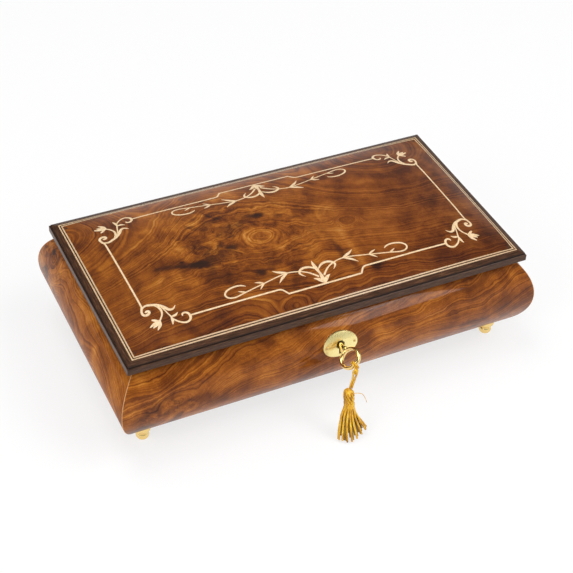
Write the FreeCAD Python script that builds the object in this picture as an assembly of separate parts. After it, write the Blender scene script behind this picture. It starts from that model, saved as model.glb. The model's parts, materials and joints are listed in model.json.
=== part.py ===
"""Cylinder music box: a swelled, veneered case with a domed inlaid lid, a box lock with its
tasselled key, a lined compartment, and a key-wound pinned-cylinder movement under a clear cover.

Millimetres, Z up. The origin lies on the surface that the feet stand on, midway between the
key's bow at the front and the swell of the back wall, with X along the case."""
import FreeCAD, Part
import math
import os

V = FreeCAD.Vector
X = V(1, 0, 0)
Y = V(0, 1, 0)
Z = V(0, 0, 1)

# Case: four mitred walls, flat inside and swelled outside
CASE_LENGTH = 294.2
CASE_WIDTH = 161.2
CASE_HEIGHT = 57.5
SWELL_RADIUS = 35.0
SWELL_HEIGHT = 29.0
WALL = 24.6
BOTTOM_RECESS = 6.0
BOTTOM_THICKNESS = 4.0
GROOVE_DEPTH = 4.0
PANEL_CLEARANCE = 0.25

# Turned brass feet
FOOT_HEIGHT = 11.6
FOOT_FACE = 7.0
FOOT_BUN = 9.8
FOOT_BUN_HEIGHT = 6.4
FOOT_WAIST = 7.2
FOOT_FLANGE = 11.2
FOOT_FLANGE_EDGE = 0.9
FOOT_COVE = 0.5
STUD_DIAMETER = 3.0
STUD_LENGTH = 5.0

# Lid: a domed panel in a dark mitred moulding, with two lines of stringing
LID_GAP = 0.3
LID_OVERHANG = 7.4
LID_EDGE = 7.2
MOULDING_WIDTH = 4.3
MOULDING_SLOPE = 1.1
MOULDING_STEP = 0.9
MOULDING_ROUND = 0.7
DOME_RISE = 9.4
DOME_END_POWER = 6.6
DOME_SIDE_POWER = 3.1
DOME_ROWS = 17
DOME_COLUMNS = 13
STRING_INSET = 0.5
STRING_WIDTH = 0.8
STRING_SPACING = 1.6
STRING_DEPTH = 0.6

# Linings
LINING = 1.6
LINING_DROP = 3.0
LID_LINING = 2.0
LID_LINING_MARGIN = 3.0

# Butt hinges
HINGE_SPREAD = 170.0
HINGE_LENGTH = 30.0
HINGE_LEAF = 1.5
HINGE_INSET = 8.2
KNUCKLE_DIAMETER = 4.0
KNUCKLE_STANDOFF = 0.2
KNUCKLE_GAP = 0.2
HINGE_PIN_DIAMETER = 2.0
PIN_FIT = 0.05

# Screws: countersunk wood screws and cheese-headed machine screws
WOOD_HEAD = 3.6
WOOD_HEAD_DEPTH = 1.2
WOOD_SHANK = 1.8
WOOD_LENGTH = 6.0
MACHINE_HEAD = 4.4
MACHINE_HEAD_HEIGHT = 1.8
MACHINE_SHANK = 2.4
MACHINE_LENGTH = 5.0
SCREW_CLEARANCE = 0.1

# Box lock, strike plate and escutcheon
LOCK_WIDTH = 32.0
LOCK_HEIGHT = 30.0
LOCK_DEPTH = 7.0
LOCK_PLATE = 1.2
LOCK_FLANGE = 5.0
KEY_DROP = 18.8
KEYHOLE_DIAMETER = 4.6
KEYHOLE_SLOT = 2.4
STAPLE_DROP = 8.5
STAPLE_WIDTH = 2.0
STAPLE_DEPTH = 3.0
STAPLE_RIM = 1.1
SELVAGE_PLAY = 0.6
STRIKE_LENGTH = 24.0
STRIKE_WIDTH = 7.0
STRIKE_THICKNESS = 1.2
BOLT_THICKNESS = 1.2
BOLT_BAR = 4.0
BOLT_PLAY = 0.3
ESCUTCHEON_LENGTH = 24.0
ESCUTCHEON_HEIGHT = 17.0
ESCUTCHEON_THICKNESS = 1.2
ESCUTCHEON_PIN = 1.6

# Key, drawn bit down and then turned to where it stands in the lock
KEY_TURN = 45.0
KEY_SHANK = 3.6
KEY_BIT_REACH = 6.2
KEY_BIT_THICKNESS = 1.8
KEY_COLLAR = 5.2
KEY_COLLAR_LENGTH = 1.4
KEY_SHOWING = 6.8
BOW_DIAMETER = 15.5
BOW_THICKNESS = 2.4
BOW_WIDTH = 3.4

# Tassel: a doubled cord, a bound head and a spread skirt that stands on the surface
CORD_DIAMETER = 1.3
KNOT_GAP = 0.3
TASSEL_TOP = 36.0
TASSEL_NECK = 26.2
TASSEL_SKIRT = 22.8
TASSEL_HEAD_DIAMETER = 7.6
TASSEL_NECK_DIAMETER = 6.4
SKIRT_SPREAD = 19.0
SKIRT_DEPTH = 11.0
TASSEL_TOP_X = -4.9
TASSEL_TOP_OUT = 3.2
SKIRT_X = -4.6
SKIRT_OUT = 12.4
CORD_SPLIT = 0.8
CORD_ASIDE = 0.9
CORD_FOLD = 3.0

# Compartments
DIVIDER = 4.0
COVER_DROP = 6.6
COVER_THICKNESS = 2.5
COVER_CLEARANCE = 0.4
LEDGE = 5.0
LEDGE_HEIGHT = 4.0

# Movement bed, laid along the case at its right-hand end
MOVEMENT_CLEARANCE = 2.0
BED_MARGIN = 3.0
BED_THICKNESS = 3.0
BED_CORNER = 4.0
BED_SCREW_INSET = 7.0

# Gear teeth: stubbed involutes
PRESSURE_ANGLE = 25.0
TIP_SHARE = 0.8
ROOT_SHARE = 1.05
BACKLASH = 0.12

# Spring barrel with a ring of face teeth that drives the cylinder's pinion
BARREL_MODULE = 0.8
BARREL_TEETH = 42
PINION_TEETH = 12
PINION_WIDTH = 2.4
FACE_TOOTH_LENGTH = 1.6
FACE_BACKLASH = 0.42
BARREL_HEIGHT = 13.0
BARREL_FLOOR = 1.2
BARREL_LIFT = 1.0
CAP_THICKNESS = 1.2
CAP_SINK = 0.4
SPRING_TURNS = 6
SPRING_THICKNESS = 0.5
SPRING_WIDTH = 9.0
SPRING_HUB = 3.4
WINDING_ARBOR = 4.0
RUNNING_FIT = 0.06
WINDING_KEY_SPAN = 24.0
WINDING_KEY_HEIGHT = 9.0
WINDING_KEY_THICKNESS = 2.4
WINDING_KEY_BOSS = 7.0
WINDING_KEY_GROUND = 3.0

# Pinned cylinder and comb
CYLINDER_DIAMETER = 18.0
CYLINDER_LENGTH = 42.0
PIN_HEIGHT = 0.9
PIN_WIDTH = 0.45
PINS_PER_TOOTH = 4
PIN_STAGGER = 137.5
CYLINDER_ARBOR = 3.0
COMB_TEETH = 30
COMB_PITCH = 1.3
COMB_SLOT = 0.35
COMB_THICKNESS = 1.0
COMB_TIP_GAP = 0.15
COMB_LONG_TOOTH = 19.0
COMB_SHORT_TOOTH = 14.0
COMB_HEEL = 9.0
BEARING = 2.4
BEARING_WIDTH = 12.0
BEARING_FOOT = 9.0
BEARING_FOOT_HEIGHT = 2.0
BEARING_CROWN = 4.6
END_PLAY = 1.0

# Governor: two wheels and a worm that spins an air fan
WHEEL_WIDTH = 2.0
TRAIN_MODULE = 0.5
END_WHEEL_TEETH = 44
TRAIN_PINION_TEETH = 10
FINE_MODULE = 0.4
FIRST_WHEEL_TEETH = 30
WORM_WHEEL_TEETH = 20
FIRST_ANGLE = -25.0
SECOND_ANGLE = 120.0
THIN_WHEEL = 1.0
TRAIN_ARBOR = 1.5
WORM_RADIUS = 2.0
WORM_LENGTH = 5.2
WORM_BACKLASH = 0.24
FRAME_PLATE = 2.0
FRAME_GAP = 9.0
FRAME_HEAD = 3.2
FRAME_SIDE = 5.0
FAN_RADIUS = 6.5
FAN_HEIGHT = 4.0
FAN_BLADE = 0.5
FAN_GAP = 0.7
COCK_GAP = 2.0

# Stop rod, pressed down by the closed lid
STOP_ROD = 2.4
STOP_FINGER = 0.8
STOP_FROM_WALL = 9.5
STOP_FROM_FRAME = 7.0
STOP_TRAVEL = 4.0
STOP_CLEARANCE = 0.35
GUIDE_PLATE = 1.5

# Heights and half sizes that follow
CASE_BOTTOM = FOOT_HEIGHT
CASE_TOP = CASE_BOTTOM + CASE_HEIGHT
SWELL_Z = CASE_BOTTOM + SWELL_HEIGHT
HALF_X = CASE_LENGTH / 2
HALF_Y = CASE_WIDTH / 2
INNER_X = HALF_X - WALL
INNER_Y = HALF_Y - WALL


def swell_inset(height):
    """How far the outer face lies inside the fullest line of the swell at a height."""
    return SWELL_RADIUS - math.sqrt(SWELL_RADIUS ** 2 - (height - SWELL_Z) ** 2)


RIM = WALL - swell_inset(CASE_TOP)
SILL = WALL - swell_inset(CASE_BOTTOM)
FLOOR_BOTTOM = CASE_BOTTOM + BOTTOM_RECESS
FLOOR_TOP = FLOOR_BOTTOM + BOTTOM_THICKNESS
LID_BOTTOM = CASE_TOP + LID_GAP
LID_TOP = LID_BOTTOM + LID_EDGE
LID_X = INNER_X + RIM + LID_OVERHANG
LID_Y = INNER_Y + RIM + LID_OVERHANG
PANEL_X = LID_X - MOULDING_WIDTH
PANEL_Y = LID_Y - MOULDING_WIDTH
LINING_TOP = CASE_TOP - LINING_DROP
LID_LINING_BOTTOM = LID_BOTTOM - LID_LINING
HINGE_Y = LID_Y + KNUCKLE_STANDOFF + KNUCKLE_DIAMETER / 2
HINGE_Z = (CASE_TOP + LID_BOTTOM) / 2
KEY_Z = CASE_TOP - KEY_DROP
LOCK_MID = -(INNER_Y + LOCK_DEPTH / 2)
KEY_FACE = -(HALF_Y - swell_inset(KEY_Z))
BOW_Y = KEY_FACE - KEY_SHOWING - BOW_DIAMETER / 2
BOW_FRONT = BOW_Y - BOW_DIAMETER / 2
CASE_SHIFT = -(HALF_Y + BOW_FRONT) / 2
COVER_TOP = CASE_TOP - COVER_DROP
COVER_BOTTOM = COVER_TOP - COVER_THICKNESS

# Movement places that follow, in its own frame: the cylinder lies along Y over the line x = 0,
# and the barrel stands on the origin
BED_TOP = FLOOR_TOP + BED_THICKNESS
BARREL_RADIUS = BARREL_MODULE * BARREL_TEETH / 2
BARREL_OUTER = BARREL_RADIUS + FACE_TOOTH_LENGTH / 2
BARREL_BOTTOM = BED_TOP + BARREL_LIFT
BARREL_TOP = BARREL_BOTTOM + BARREL_HEIGHT
PINION_Y = -BARREL_RADIUS
ARBOR_Z = BARREL_TOP + BARREL_MODULE * (ROOT_SHARE + PINION_TEETH / 2)
REAR_BEARING_Y = PINION_Y - PINION_WIDTH / 2 - END_PLAY
CYLINDER_BACK = REAR_BEARING_Y - BEARING - END_PLAY
CYLINDER_FRONT = CYLINDER_BACK - CYLINDER_LENGTH
END_WHEEL_Y = CYLINDER_FRONT - END_PLAY / 2
FRAME_Y = END_WHEEL_Y - WHEEL_WIDTH - END_PLAY
FRAME_FRONT = FRAME_Y - FRAME_PLATE - FRAME_GAP
PIN_TIP = CYLINDER_DIAMETER / 2 + PIN_HEIGHT
COMB_TIP_X = -PIN_TIP - COMB_TIP_GAP
COMB_HEEL_X = COMB_TIP_X - COMB_LONG_TOOTH
FIRST_DISTANCE = TRAIN_MODULE * (END_WHEEL_TEETH + TRAIN_PINION_TEETH) / 2
SECOND_DISTANCE = FINE_MODULE * (FIRST_WHEEL_TEETH + TRAIN_PINION_TEETH) / 2


def beside(start, distance, degrees):
    """The (x, z) place at a distance and angle from another arbor."""
    turn = math.radians(degrees)
    return (start[0] + distance * math.cos(turn), start[1] + distance * math.sin(turn))


CYLINDER_AT = (0.0, ARBOR_Z)
FIRST_AT = beside(CYLINDER_AT, FIRST_DISTANCE, FIRST_ANGLE)
SECOND_AT = beside(FIRST_AT, SECOND_DISTANCE, SECOND_ANGLE)
WORM_WHEEL_RADIUS = TRAIN_MODULE * WORM_WHEEL_TEETH / 2
FINE_Y = FRAME_Y - FRAME_PLATE - END_PLAY
WORM_Y = FINE_Y - THIN_WHEEL - WORM_RADIUS - TRAIN_MODULE * TIP_SHARE - END_PLAY / 2
FLY_X = SECOND_AT[0] + WORM_WHEEL_RADIUS + WORM_RADIUS
FRAME_TOP = SECOND_AT[1] + FRAME_HEAD
FAN_BOTTOM = max(FRAME_TOP, SECOND_AT[1] + WORM_WHEEL_RADIUS + TRAIN_MODULE * TIP_SHARE) + FAN_GAP
FAN_TOP = FAN_BOTTOM + FAN_HEIGHT
COCK_BOTTOM = FAN_TOP + FAN_GAP
COCK_Y = WORM_Y - FAN_RADIUS - COCK_GAP
COCK_FRONT = COCK_Y - FRAME_PLATE - MACHINE_HEAD - END_PLAY
BED_LEFT = COMB_HEEL_X - COMB_HEEL - BED_MARGIN
BED_RIGHT = FLY_X + FRAME_SIDE + BED_MARGIN
BED_FRONT = COCK_FRONT - BED_MARGIN
BED_BACK = BARREL_OUTER + BED_MARGIN
END_WALL_Y = BED_FRONT - MOVEMENT_CLEARANCE
STOP_X = FLY_X + FRAME_SIDE + STOP_FROM_FRAME
STOP_Y = END_WALL_Y + STOP_FROM_WALL
STOP_TOP = LID_LINING_BOTTOM - LID_GAP
FINGER_Z = (FAN_BOTTOM + FAN_TOP) / 2

# The movement's place in the case, with its front end towards the right-hand wall
MOVEMENT_X = INNER_X + END_WALL_Y
MOVEMENT_Y = -(BED_LEFT + BED_RIGHT) / 2
BAY_X = MOVEMENT_X - BED_BACK - MOVEMENT_CLEARANCE
DIVIDER_X = BAY_X - DIVIDER


def in_case(place):
    """A place in the movement's own frame, as a place in the case."""
    return V(MOVEMENT_X - place.y, MOVEMENT_Y + place.x, place.z)


def box(x0, x1, y0, y1, z0, z1):
    return Part.makeBox(x1 - x0, y1 - y0, z1 - z0, V(x0, y0, z0))


def rod(radius, start, end):
    return Part.makeCylinder(radius, (end - start).Length, start, end - start)


def slab(points, depth):
    """A flat outline pushed along the vector depth."""
    return Part.Face(Part.makePolygon(points + points[:1])).extrude(depth)


def joined(first, *others):
    return first.fuse(list(others)).removeSplitter()


def rounded_upright(shape, radius):
    """The shape with its upright outside edges rounded."""
    upright = [e for e in shape.Edges if abs(abs(e.tangentAt(e.FirstParameter).z) - 1) < 1e-6]
    return shape.makeFillet(radius, upright)


def save(name, *solids):
    shape = solids[0].copy() if len(solids) == 1 else Part.makeCompound(list(solids))
    shape.translate(V(0, CASE_SHIFT, 0))
    shape.exportStep("parts/" + name + ".step")


def turned(shape, degrees):
    return shape.rotated(V(0, 0, 0), Z, degrees)


def save_movement(name, *solids):
    """Saves pieces that are drawn in the movement's own frame."""
    save(name, *[turned(solid, 90).translated(in_case(V(0, 0, 0))) for solid in solids])


def wood_screw(place, into, grow=0.0):
    """A countersunk screw whose head is flush at place; grow widens it into its own hole."""
    head = Part.makeCone(WOOD_HEAD / 2 + grow, WOOD_SHANK / 2 + grow, WOOD_HEAD_DEPTH, place, into)
    return joined(head, rod(WOOD_SHANK / 2 + grow, place, place + into * (WOOD_LENGTH + grow)))


def machine_screw(place, into, grow=0.0):
    """A cheese-headed screw with the underside of its head at place."""
    head = rod(MACHINE_HEAD / 2 + grow, place - into * MACHINE_HEAD_HEIGHT, place)
    return joined(head, rod(MACHINE_SHANK / 2 + grow, place, place + into * (MACHINE_LENGTH + grow)))


def holed(shape, screw, places, into):
    return shape.cut([screw(place, into, SCREW_CLEARANCE) for place in places])


def mitred_rail(section, half_run, half_across, reach):
    """A front rail: a (outward, height) section run along X and mitred at both ends."""
    start = -(half_run + reach)
    edges = [e.copy() for e in section]
    face = Part.Face(Part.Wire(edges))
    place = FreeCAD.Placement(V(start, -half_across, 0), FreeCAD.Rotation(V(0, -1, 0), Z, X, "XYZ"))
    face.Placement = place
    rail = face.extrude(X * (-2 * start))
    mitre = slab(
        [
            V(-half_run, -half_across, 0),
            V(half_run, -half_across, 0),
            V(half_run + reach, -half_across - reach, 0),
            V(-half_run - reach, -half_across - reach, 0),
        ],
        Z * (LID_TOP + DOME_RISE),
    )
    return rail.common(mitre)


def outline(points):
    """Straight edges through (outward, height) points."""
    vectors = [V(a, b, 0) for a, b in points]
    return [Part.makeLine(a, b) for a, b in zip(vectors, vectors[1:])]


def arc(first, middle, last):
    return Part.Arc(V(*first, 0), V(*middle, 0), V(*last, 0)).toShape()


def wall_section():
    """Swelled outside, flat inside, with a groove for the bottom panel."""
    groove_top = FLOOR_TOP + PANEL_CLEARANCE
    groove_bottom = FLOOR_BOTTOM - PANEL_CLEARANCE
    return [
        arc((SILL, CASE_BOTTOM), (WALL, SWELL_Z), (RIM, CASE_TOP)),
        *outline(
            [
                (RIM, CASE_TOP),
                (0, CASE_TOP),
                (0, groove_top),
                (GROOVE_DEPTH, groove_top),
                (GROOVE_DEPTH, groove_bottom),
                (0, groove_bottom),
                (0, CASE_BOTTOM),
                (SILL, CASE_BOTTOM),
            ]
        ),
    ]


def moulding_section():
    """A sloped top, a quirk, and a band with rounded edges."""
    edge = MOULDING_WIDTH
    slope_end = edge - MOULDING_STEP
    band_top = LID_TOP - MOULDING_SLOPE - MOULDING_STEP
    r = MOULDING_ROUND
    bow = r * (1 - math.sqrt(0.5))
    return [
        *outline([(0, LID_BOTTOM), (0, LID_TOP), (slope_end, LID_TOP - MOULDING_SLOPE)]),
        *outline([(slope_end, LID_TOP - MOULDING_SLOPE), (slope_end, band_top), (edge - r, band_top)]),
        arc((edge - r, band_top), (edge - bow, band_top - bow), (edge, band_top - r)),
        *outline([(edge, band_top - r), (edge, LID_BOTTOM + r)]),
        arc((edge, LID_BOTTOM + r), (edge - bow, LID_BOTTOM + bow), (edge - r, LID_BOTTOM)),
        *outline([(edge - r, LID_BOTTOM), (0, LID_BOTTOM)]),
    ]


def foot_places():
    """The middle of each foot, under the mitred corners."""
    x = INNER_X + SILL / 2
    y = INNER_Y + SILL / 2
    return {
        "front_left": V(-x, -y, 0),
        "front_right": V(x, -y, 0),
        "back_left": V(-x, y, 0),
        "back_right": V(x, y, 0),
    }


def foot(place):
    """A turned foot: a bun on a flat face, then a cove, a flange under the case and a stud."""
    face, bun, waist, flange = (d / 2 for d in (FOOT_FACE, FOOT_BUN, FOOT_WAIST, FOOT_FLANGE))
    edge = FOOT_HEIGHT - FOOT_FLANGE_EDGE
    cove = V((waist + flange) / 2 - FOOT_COVE, 0, (FOOT_BUN_HEIGHT + edge) / 2)
    half = Part.Wire(
        [
            Part.makeLine(V(0, 0, 0), V(face, 0, 0)),
            Part.Arc(V(face, 0, 0), V(bun, 0, FOOT_BUN_HEIGHT / 2), V(waist, 0, FOOT_BUN_HEIGHT)).toShape(),
            Part.Arc(V(waist, 0, FOOT_BUN_HEIGHT), cove, V(flange, 0, edge)).toShape(),
            Part.makeLine(V(flange, 0, edge), V(flange, 0, FOOT_HEIGHT)),
            Part.makeLine(V(flange, 0, FOOT_HEIGHT), V(0, 0, FOOT_HEIGHT)),
            Part.makeLine(V(0, 0, FOOT_HEIGHT), V(0, 0, 0)),
        ]
    )
    turned = Part.Face(half).revolve(V(0, 0, 0), Z, 360)
    turned.translate(place)
    stud = rod(STUD_DIAMETER / 2, place + Z * FOOT_HEIGHT, place + Z * (FOOT_HEIGHT + STUD_LENGTH))
    return joined(turned, stud)


def keyhole(front, back):
    """A round hole with a slot for the bit below it, from the front face to the back one."""
    centre = V(0, front, KEY_Z)
    round_part = rod(KEYHOLE_DIAMETER / 2, centre, V(0, back, KEY_Z))
    drop = KEY_BIT_REACH + BOLT_PLAY
    slot = box(-KEYHOLE_SLOT / 2, KEYHOLE_SLOT / 2, front, back, KEY_Z - drop, KEY_Z)
    return joined(round_part, slot)


def hinge_screw_places(height):
    """Three screws in each leaf."""
    y = INNER_Y + RIM - HINGE_INSET / 2
    step = HINGE_LENGTH / 3
    return [
        V(side * HINGE_SPREAD / 2 + k * step, y, height) for side in (-1, 1) for k in (-1, 0, 1)
    ]


def hinge_leaf_plan(bottom):
    """Both leaves' plates, from the inner edge of the mortise to the knuckle's middle."""
    inner = INNER_Y + RIM - HINGE_INSET
    return [
        box(
            side * HINGE_SPREAD / 2 - HINGE_LENGTH / 2,
            side * HINGE_SPREAD / 2 + HINGE_LENGTH / 2,
            inner,
            HINGE_Y,
            bottom,
            bottom + HINGE_LEAF,
        )
        for side in (-1, 1)
    ]


def knuckle(side, first, last):
    """A stretch of one hinge's barrel, in thirds of its length."""
    third = HINGE_LENGTH / 3
    start = side * HINGE_SPREAD / 2 - HINGE_LENGTH / 2
    trim = KNUCKLE_GAP / 2
    return rod(
        KNUCKLE_DIAMETER / 2,
        V(start + third * first + trim, HINGE_Y, HINGE_Z),
        V(start + third * last - trim, HINGE_Y, HINGE_Z),
    )


def knuckle_space(side, first, last):
    """The room that the other leaf's knuckle needs, cut from a plate."""
    third = HINGE_LENGTH / 3
    start = side * HINGE_SPREAD / 2 - HINGE_LENGTH / 2
    reach = KNUCKLE_DIAMETER / 2 + KNUCKLE_STANDOFF
    trim = KNUCKLE_GAP / 2
    return box(
        start + third * first - trim,
        start + third * last + trim,
        HINGE_Y - reach,
        HINGE_Y + reach,
        HINGE_Z - reach,
        HINGE_Z + reach,
    )


def hinge_leaves(bottom, stretches, spaces, screw_height, into):
    """Two leaves: plates with their own knuckles, bored for the pin and for screws."""
    leaves = []
    for side, plate in zip((-1, 1), hinge_leaf_plan(bottom)):
        leaf = plate.cut([knuckle_space(side, *gap) for gap in spaces])
        leaf = joined(leaf, *[knuckle(side, *stretch) for stretch in stretches])
        start = V(side * HINGE_SPREAD / 2 - HINGE_LENGTH, HINGE_Y, HINGE_Z)
        leaf = leaf.cut(rod(HINGE_PIN_DIAMETER / 2 + PIN_FIT, start, start + X * 2 * HINGE_LENGTH))
        leaves.append(holed(leaf, wood_screw, hinge_screw_places(screw_height), into))
    return leaves


def hinge_pins():
    """A plain pin through each hinge's knuckles."""
    pins = []
    for side in (-1, 1):
        start = V(side * HINGE_SPREAD / 2 - HINGE_LENGTH / 2, HINGE_Y, HINGE_Z)
        pins.append(rod(HINGE_PIN_DIAMETER / 2, start, start + X * HINGE_LENGTH))
    return pins


def lock_case():
    """The outside of the lock: a box with a flange along its cover plate and its top edge."""
    half = LOCK_WIDTH / 2
    flange = half + LOCK_FLANGE
    bottom = CASE_TOP - LOCK_HEIGHT
    outside = -(INNER_Y + LOCK_DEPTH)
    body = box(-half, half, outside, -INNER_Y, bottom, CASE_TOP)
    cover = box(-flange, flange, -(INNER_Y + LOCK_PLATE), -INNER_Y, bottom, CASE_TOP)
    selvage = box(-flange, flange, outside, -INNER_Y, CASE_TOP - LOCK_PLATE, CASE_TOP)
    return joined(body, cover, selvage)


def lock_screw_places():
    x = LOCK_WIDTH / 2 + LOCK_FLANGE / 2
    low = CASE_TOP - LOCK_HEIGHT + LOCK_FLANGE
    high = CASE_TOP - LOCK_FLANGE
    return [V(side * x, -INNER_Y, z) for side in (-1, 1) for z in (low, high)]


def lock_body():
    """The hollow lock, open to the keyhole in front and to the staple above."""
    half = LOCK_WIDTH / 2 - LOCK_PLATE
    front = -(INNER_Y + LOCK_DEPTH)
    low = CASE_TOP - LOCK_HEIGHT + LOCK_PLATE
    room = box(-half, half, front + LOCK_PLATE, -INNER_Y - LOCK_PLATE, low, CASE_TOP - LOCK_PLATE)
    play = STAPLE_WIDTH / 2 + SELVAGE_PLAY
    slot = box(-play, play, front + LOCK_PLATE, -INNER_Y - LOCK_PLATE, CASE_TOP - LOCK_PLATE, CASE_TOP)
    body = lock_case().cut([room, slot, keyhole(front, front + LOCK_PLATE)])
    return holed(body, wood_screw, lock_screw_places(), -Y)


def staple_eye_bottom():
    return CASE_TOP - STAPLE_DROP + STAPLE_RIM


def strike_screw_places():
    x = STRIKE_LENGTH / 2 - WOOD_HEAD
    return [V(side * x, LOCK_MID, LID_BOTTOM) for side in (-1, 1)]


def strike_plate_bed():
    half = STRIKE_WIDTH / 2
    return box(
        -STRIKE_LENGTH / 2,
        STRIKE_LENGTH / 2,
        LOCK_MID - half,
        LOCK_MID + half,
        LID_BOTTOM,
        LID_BOTTOM + STRIKE_THICKNESS,
    )


def strike_plate():
    """A plate let into the lid, with a staple whose eye takes the bolt."""
    half_x = STAPLE_WIDTH / 2
    half_y = STAPLE_DEPTH / 2
    staple = box(-half_x, half_x, LOCK_MID - half_y, LOCK_MID + half_y, CASE_TOP - STAPLE_DROP, LID_BOTTOM)
    eye_y = BOLT_THICKNESS / 2 + BOLT_PLAY
    eye_bottom = staple_eye_bottom()
    eye_top = eye_bottom + BOLT_BAR
    eye = box(-STAPLE_WIDTH, STAPLE_WIDTH, LOCK_MID - eye_y, LOCK_MID + eye_y, eye_bottom, eye_top)
    plate = joined(strike_plate_bed(), staple).cut(eye)
    return holed(plate, wood_screw, strike_screw_places(), Z)


def lock_bolt():
    """A flat bolt: a bar with a notch for the bit, a riser, and a nose level with the eye."""
    nose_bottom = staple_eye_bottom() + BOLT_PLAY
    nose_top = nose_bottom + BOLT_BAR - 2 * BOLT_PLAY
    bar_bottom = KEY_Z + KEY_BIT_REACH - BOLT_PLAY
    bar_top = bar_bottom + BOLT_BAR
    notch_top = bar_bottom + 2 * BOLT_PLAY + BOLT_THICKNESS / 2
    left = -LOCK_WIDTH / 2 + BOLT_BAR
    nose = -STAPLE_WIDTH
    riser = left + BOLT_BAR
    right = -left / 2
    notch_left = riser - BOLT_BAR / 2
    notch_right = KEY_BIT_THICKNESS / 2
    points = [
        (left, bar_bottom),
        (notch_left, bar_bottom),
        (notch_left, notch_top),
        (notch_right, notch_top),
        (notch_right, bar_bottom),
        (right, bar_bottom),
        (right, bar_top),
        (riser, bar_top),
        (riser, nose_bottom),
        (nose, nose_bottom),
        (nose, nose_top),
        (left, nose_top),
    ]
    y = LOCK_MID - BOLT_THICKNESS / 2
    return slab([V(x, y, z) for x, z in points], Y * BOLT_THICKNESS)


def escutcheon():
    """An oval brass plate, bent to the wall's swell."""
    oval = Part.Ellipse(V(0, 0, 0), ESCUTCHEON_LENGTH / 2, ESCUTCHEON_HEIGHT / 2).toShape()
    prism = Part.Face(Part.Wire(oval)).extrude(Z * WALL)
    prism.rotate(V(0, 0, 0), X, 90)
    prism.translate(V(0, -HALF_Y + WALL / 2, KEY_Z))
    axis = V(-ESCUTCHEON_LENGTH, -HALF_Y + SWELL_RADIUS, SWELL_Z)
    run = X * 2 * ESCUTCHEON_LENGTH
    outer = rod(SWELL_RADIUS + ESCUTCHEON_THICKNESS, axis, axis + run)
    plate = outer.cut(rod(SWELL_RADIUS, axis, axis + run)).common(prism)
    front = -HALF_Y - ESCUTCHEON_THICKNESS
    plate = plate.cut(keyhole(front, -INNER_Y - LOCK_DEPTH))
    return plate.cut([escutcheon_pin(place) for place in escutcheon_pin_places()])


def escutcheon_pin_places():
    x = ESCUTCHEON_LENGTH / 2 - ESCUTCHEON_PIN * 1.3
    return [V(side * x, -HALF_Y + swell_inset(KEY_Z) - ESCUTCHEON_THICKNESS, KEY_Z) for side in (-1, 1)]


def escutcheon_pin(place):
    """A small nail with a domed head standing on the plate."""
    radius = ESCUTCHEON_PIN / 2
    head = Part.makeSphere(radius, place).common(rod(radius, place - Y * radius, place - Y * PIN_FIT))
    nail = rod(radius / 2, place - Y * radius / 2, place + Y * WALL / 4)
    return joined(head, nail)


def key():
    """A box-lock key: ring bow, collared shank and a flag bit, turned to its place."""
    tip = -(INNER_Y + LOCK_PLATE + BOLT_PLAY)
    back_of_bow = BOW_Y + BOW_DIAMETER / 2
    shank = rod(KEY_SHANK / 2, V(0, back_of_bow - BOW_THICKNESS / 2, KEY_Z), V(0, tip, KEY_Z))
    collar = rod(KEY_COLLAR / 2, V(0, back_of_bow, KEY_Z), V(0, back_of_bow + KEY_COLLAR_LENGTH, KEY_Z))
    half = KEY_BIT_THICKNESS / 2
    bit_front = -(INNER_Y + LOCK_DEPTH - LOCK_PLATE) + BOLT_PLAY
    bit = box(-half, half, bit_front, tip, KEY_Z - KEY_BIT_REACH, KEY_Z)
    centre = V(-BOW_WIDTH / 2, BOW_Y, KEY_Z)
    bow = rod(BOW_DIAMETER / 2, centre, centre + X * BOW_WIDTH)
    ring_hole = rod(BOW_DIAMETER / 2 - BOW_THICKNESS, centre - X, centre + X * (BOW_WIDTH + 2))
    bow = bow.makeFillet(BOW_WIDTH / 4, [e for e in bow.Edges if len(e.Vertexes) == 1 and e.Closed])
    whole = joined(bow.cut(ring_hole), shank, collar, bit)
    return whole.rotated(V(0, 0, KEY_Z), Y, KEY_TURN)


def knot_radius():
    """The knot's ring clears the corners of the bow's band."""
    return math.hypot(BOW_THICKNESS, BOW_WIDTH) / 2 + KNOT_GAP / 2 + CORD_DIAMETER / 2


def knot_middle():
    return V(0, BOW_FRONT + BOW_THICKNESS / 2, KEY_Z)


def tassel_knot():
    """The turn of cord that holds the tassel on the front of the bow."""
    ring = Part.makeTorus(knot_radius(), CORD_DIAMETER / 2, knot_middle(), Z)
    return ring.rotated(knot_middle(), Y, KEY_TURN)


def tassel_axis(height):
    """The middle of the leaning tassel at a height."""
    share = height / TASSEL_TOP
    x = SKIRT_X + (TASSEL_TOP_X - SKIRT_X) * share
    out = SKIRT_OUT + (TASSEL_TOP_OUT - SKIRT_OUT) * share
    return V(x, BOW_FRONT - out, height)


def cord_route():
    """The doubled cord: up from the head to the knot, round, and down again."""
    top = tassel_axis(TASSEL_TOP) + X * CORD_ASIDE
    near = BOW_FRONT + BOW_THICKNESS / 2 - knot_radius() - CORD_DIAMETER - KNOT_GAP
    rise = top + V(0.3, -0.3, 3.0)
    sag = V(-2.9, near - 0.7, KEY_Z - 5.4)
    fold = V(-2.2, near - 0.4, KEY_Z + 0.6)
    aside = V(1, -1, 0).normalize()
    split = aside * CORD_SPLIT
    wide = aside * (CORD_FOLD / 2)
    left = [top - split, rise - split, sag - split, fold - wide]
    right = [fold + wide, sag + split, rise + split, top + split]
    return left + right


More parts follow.
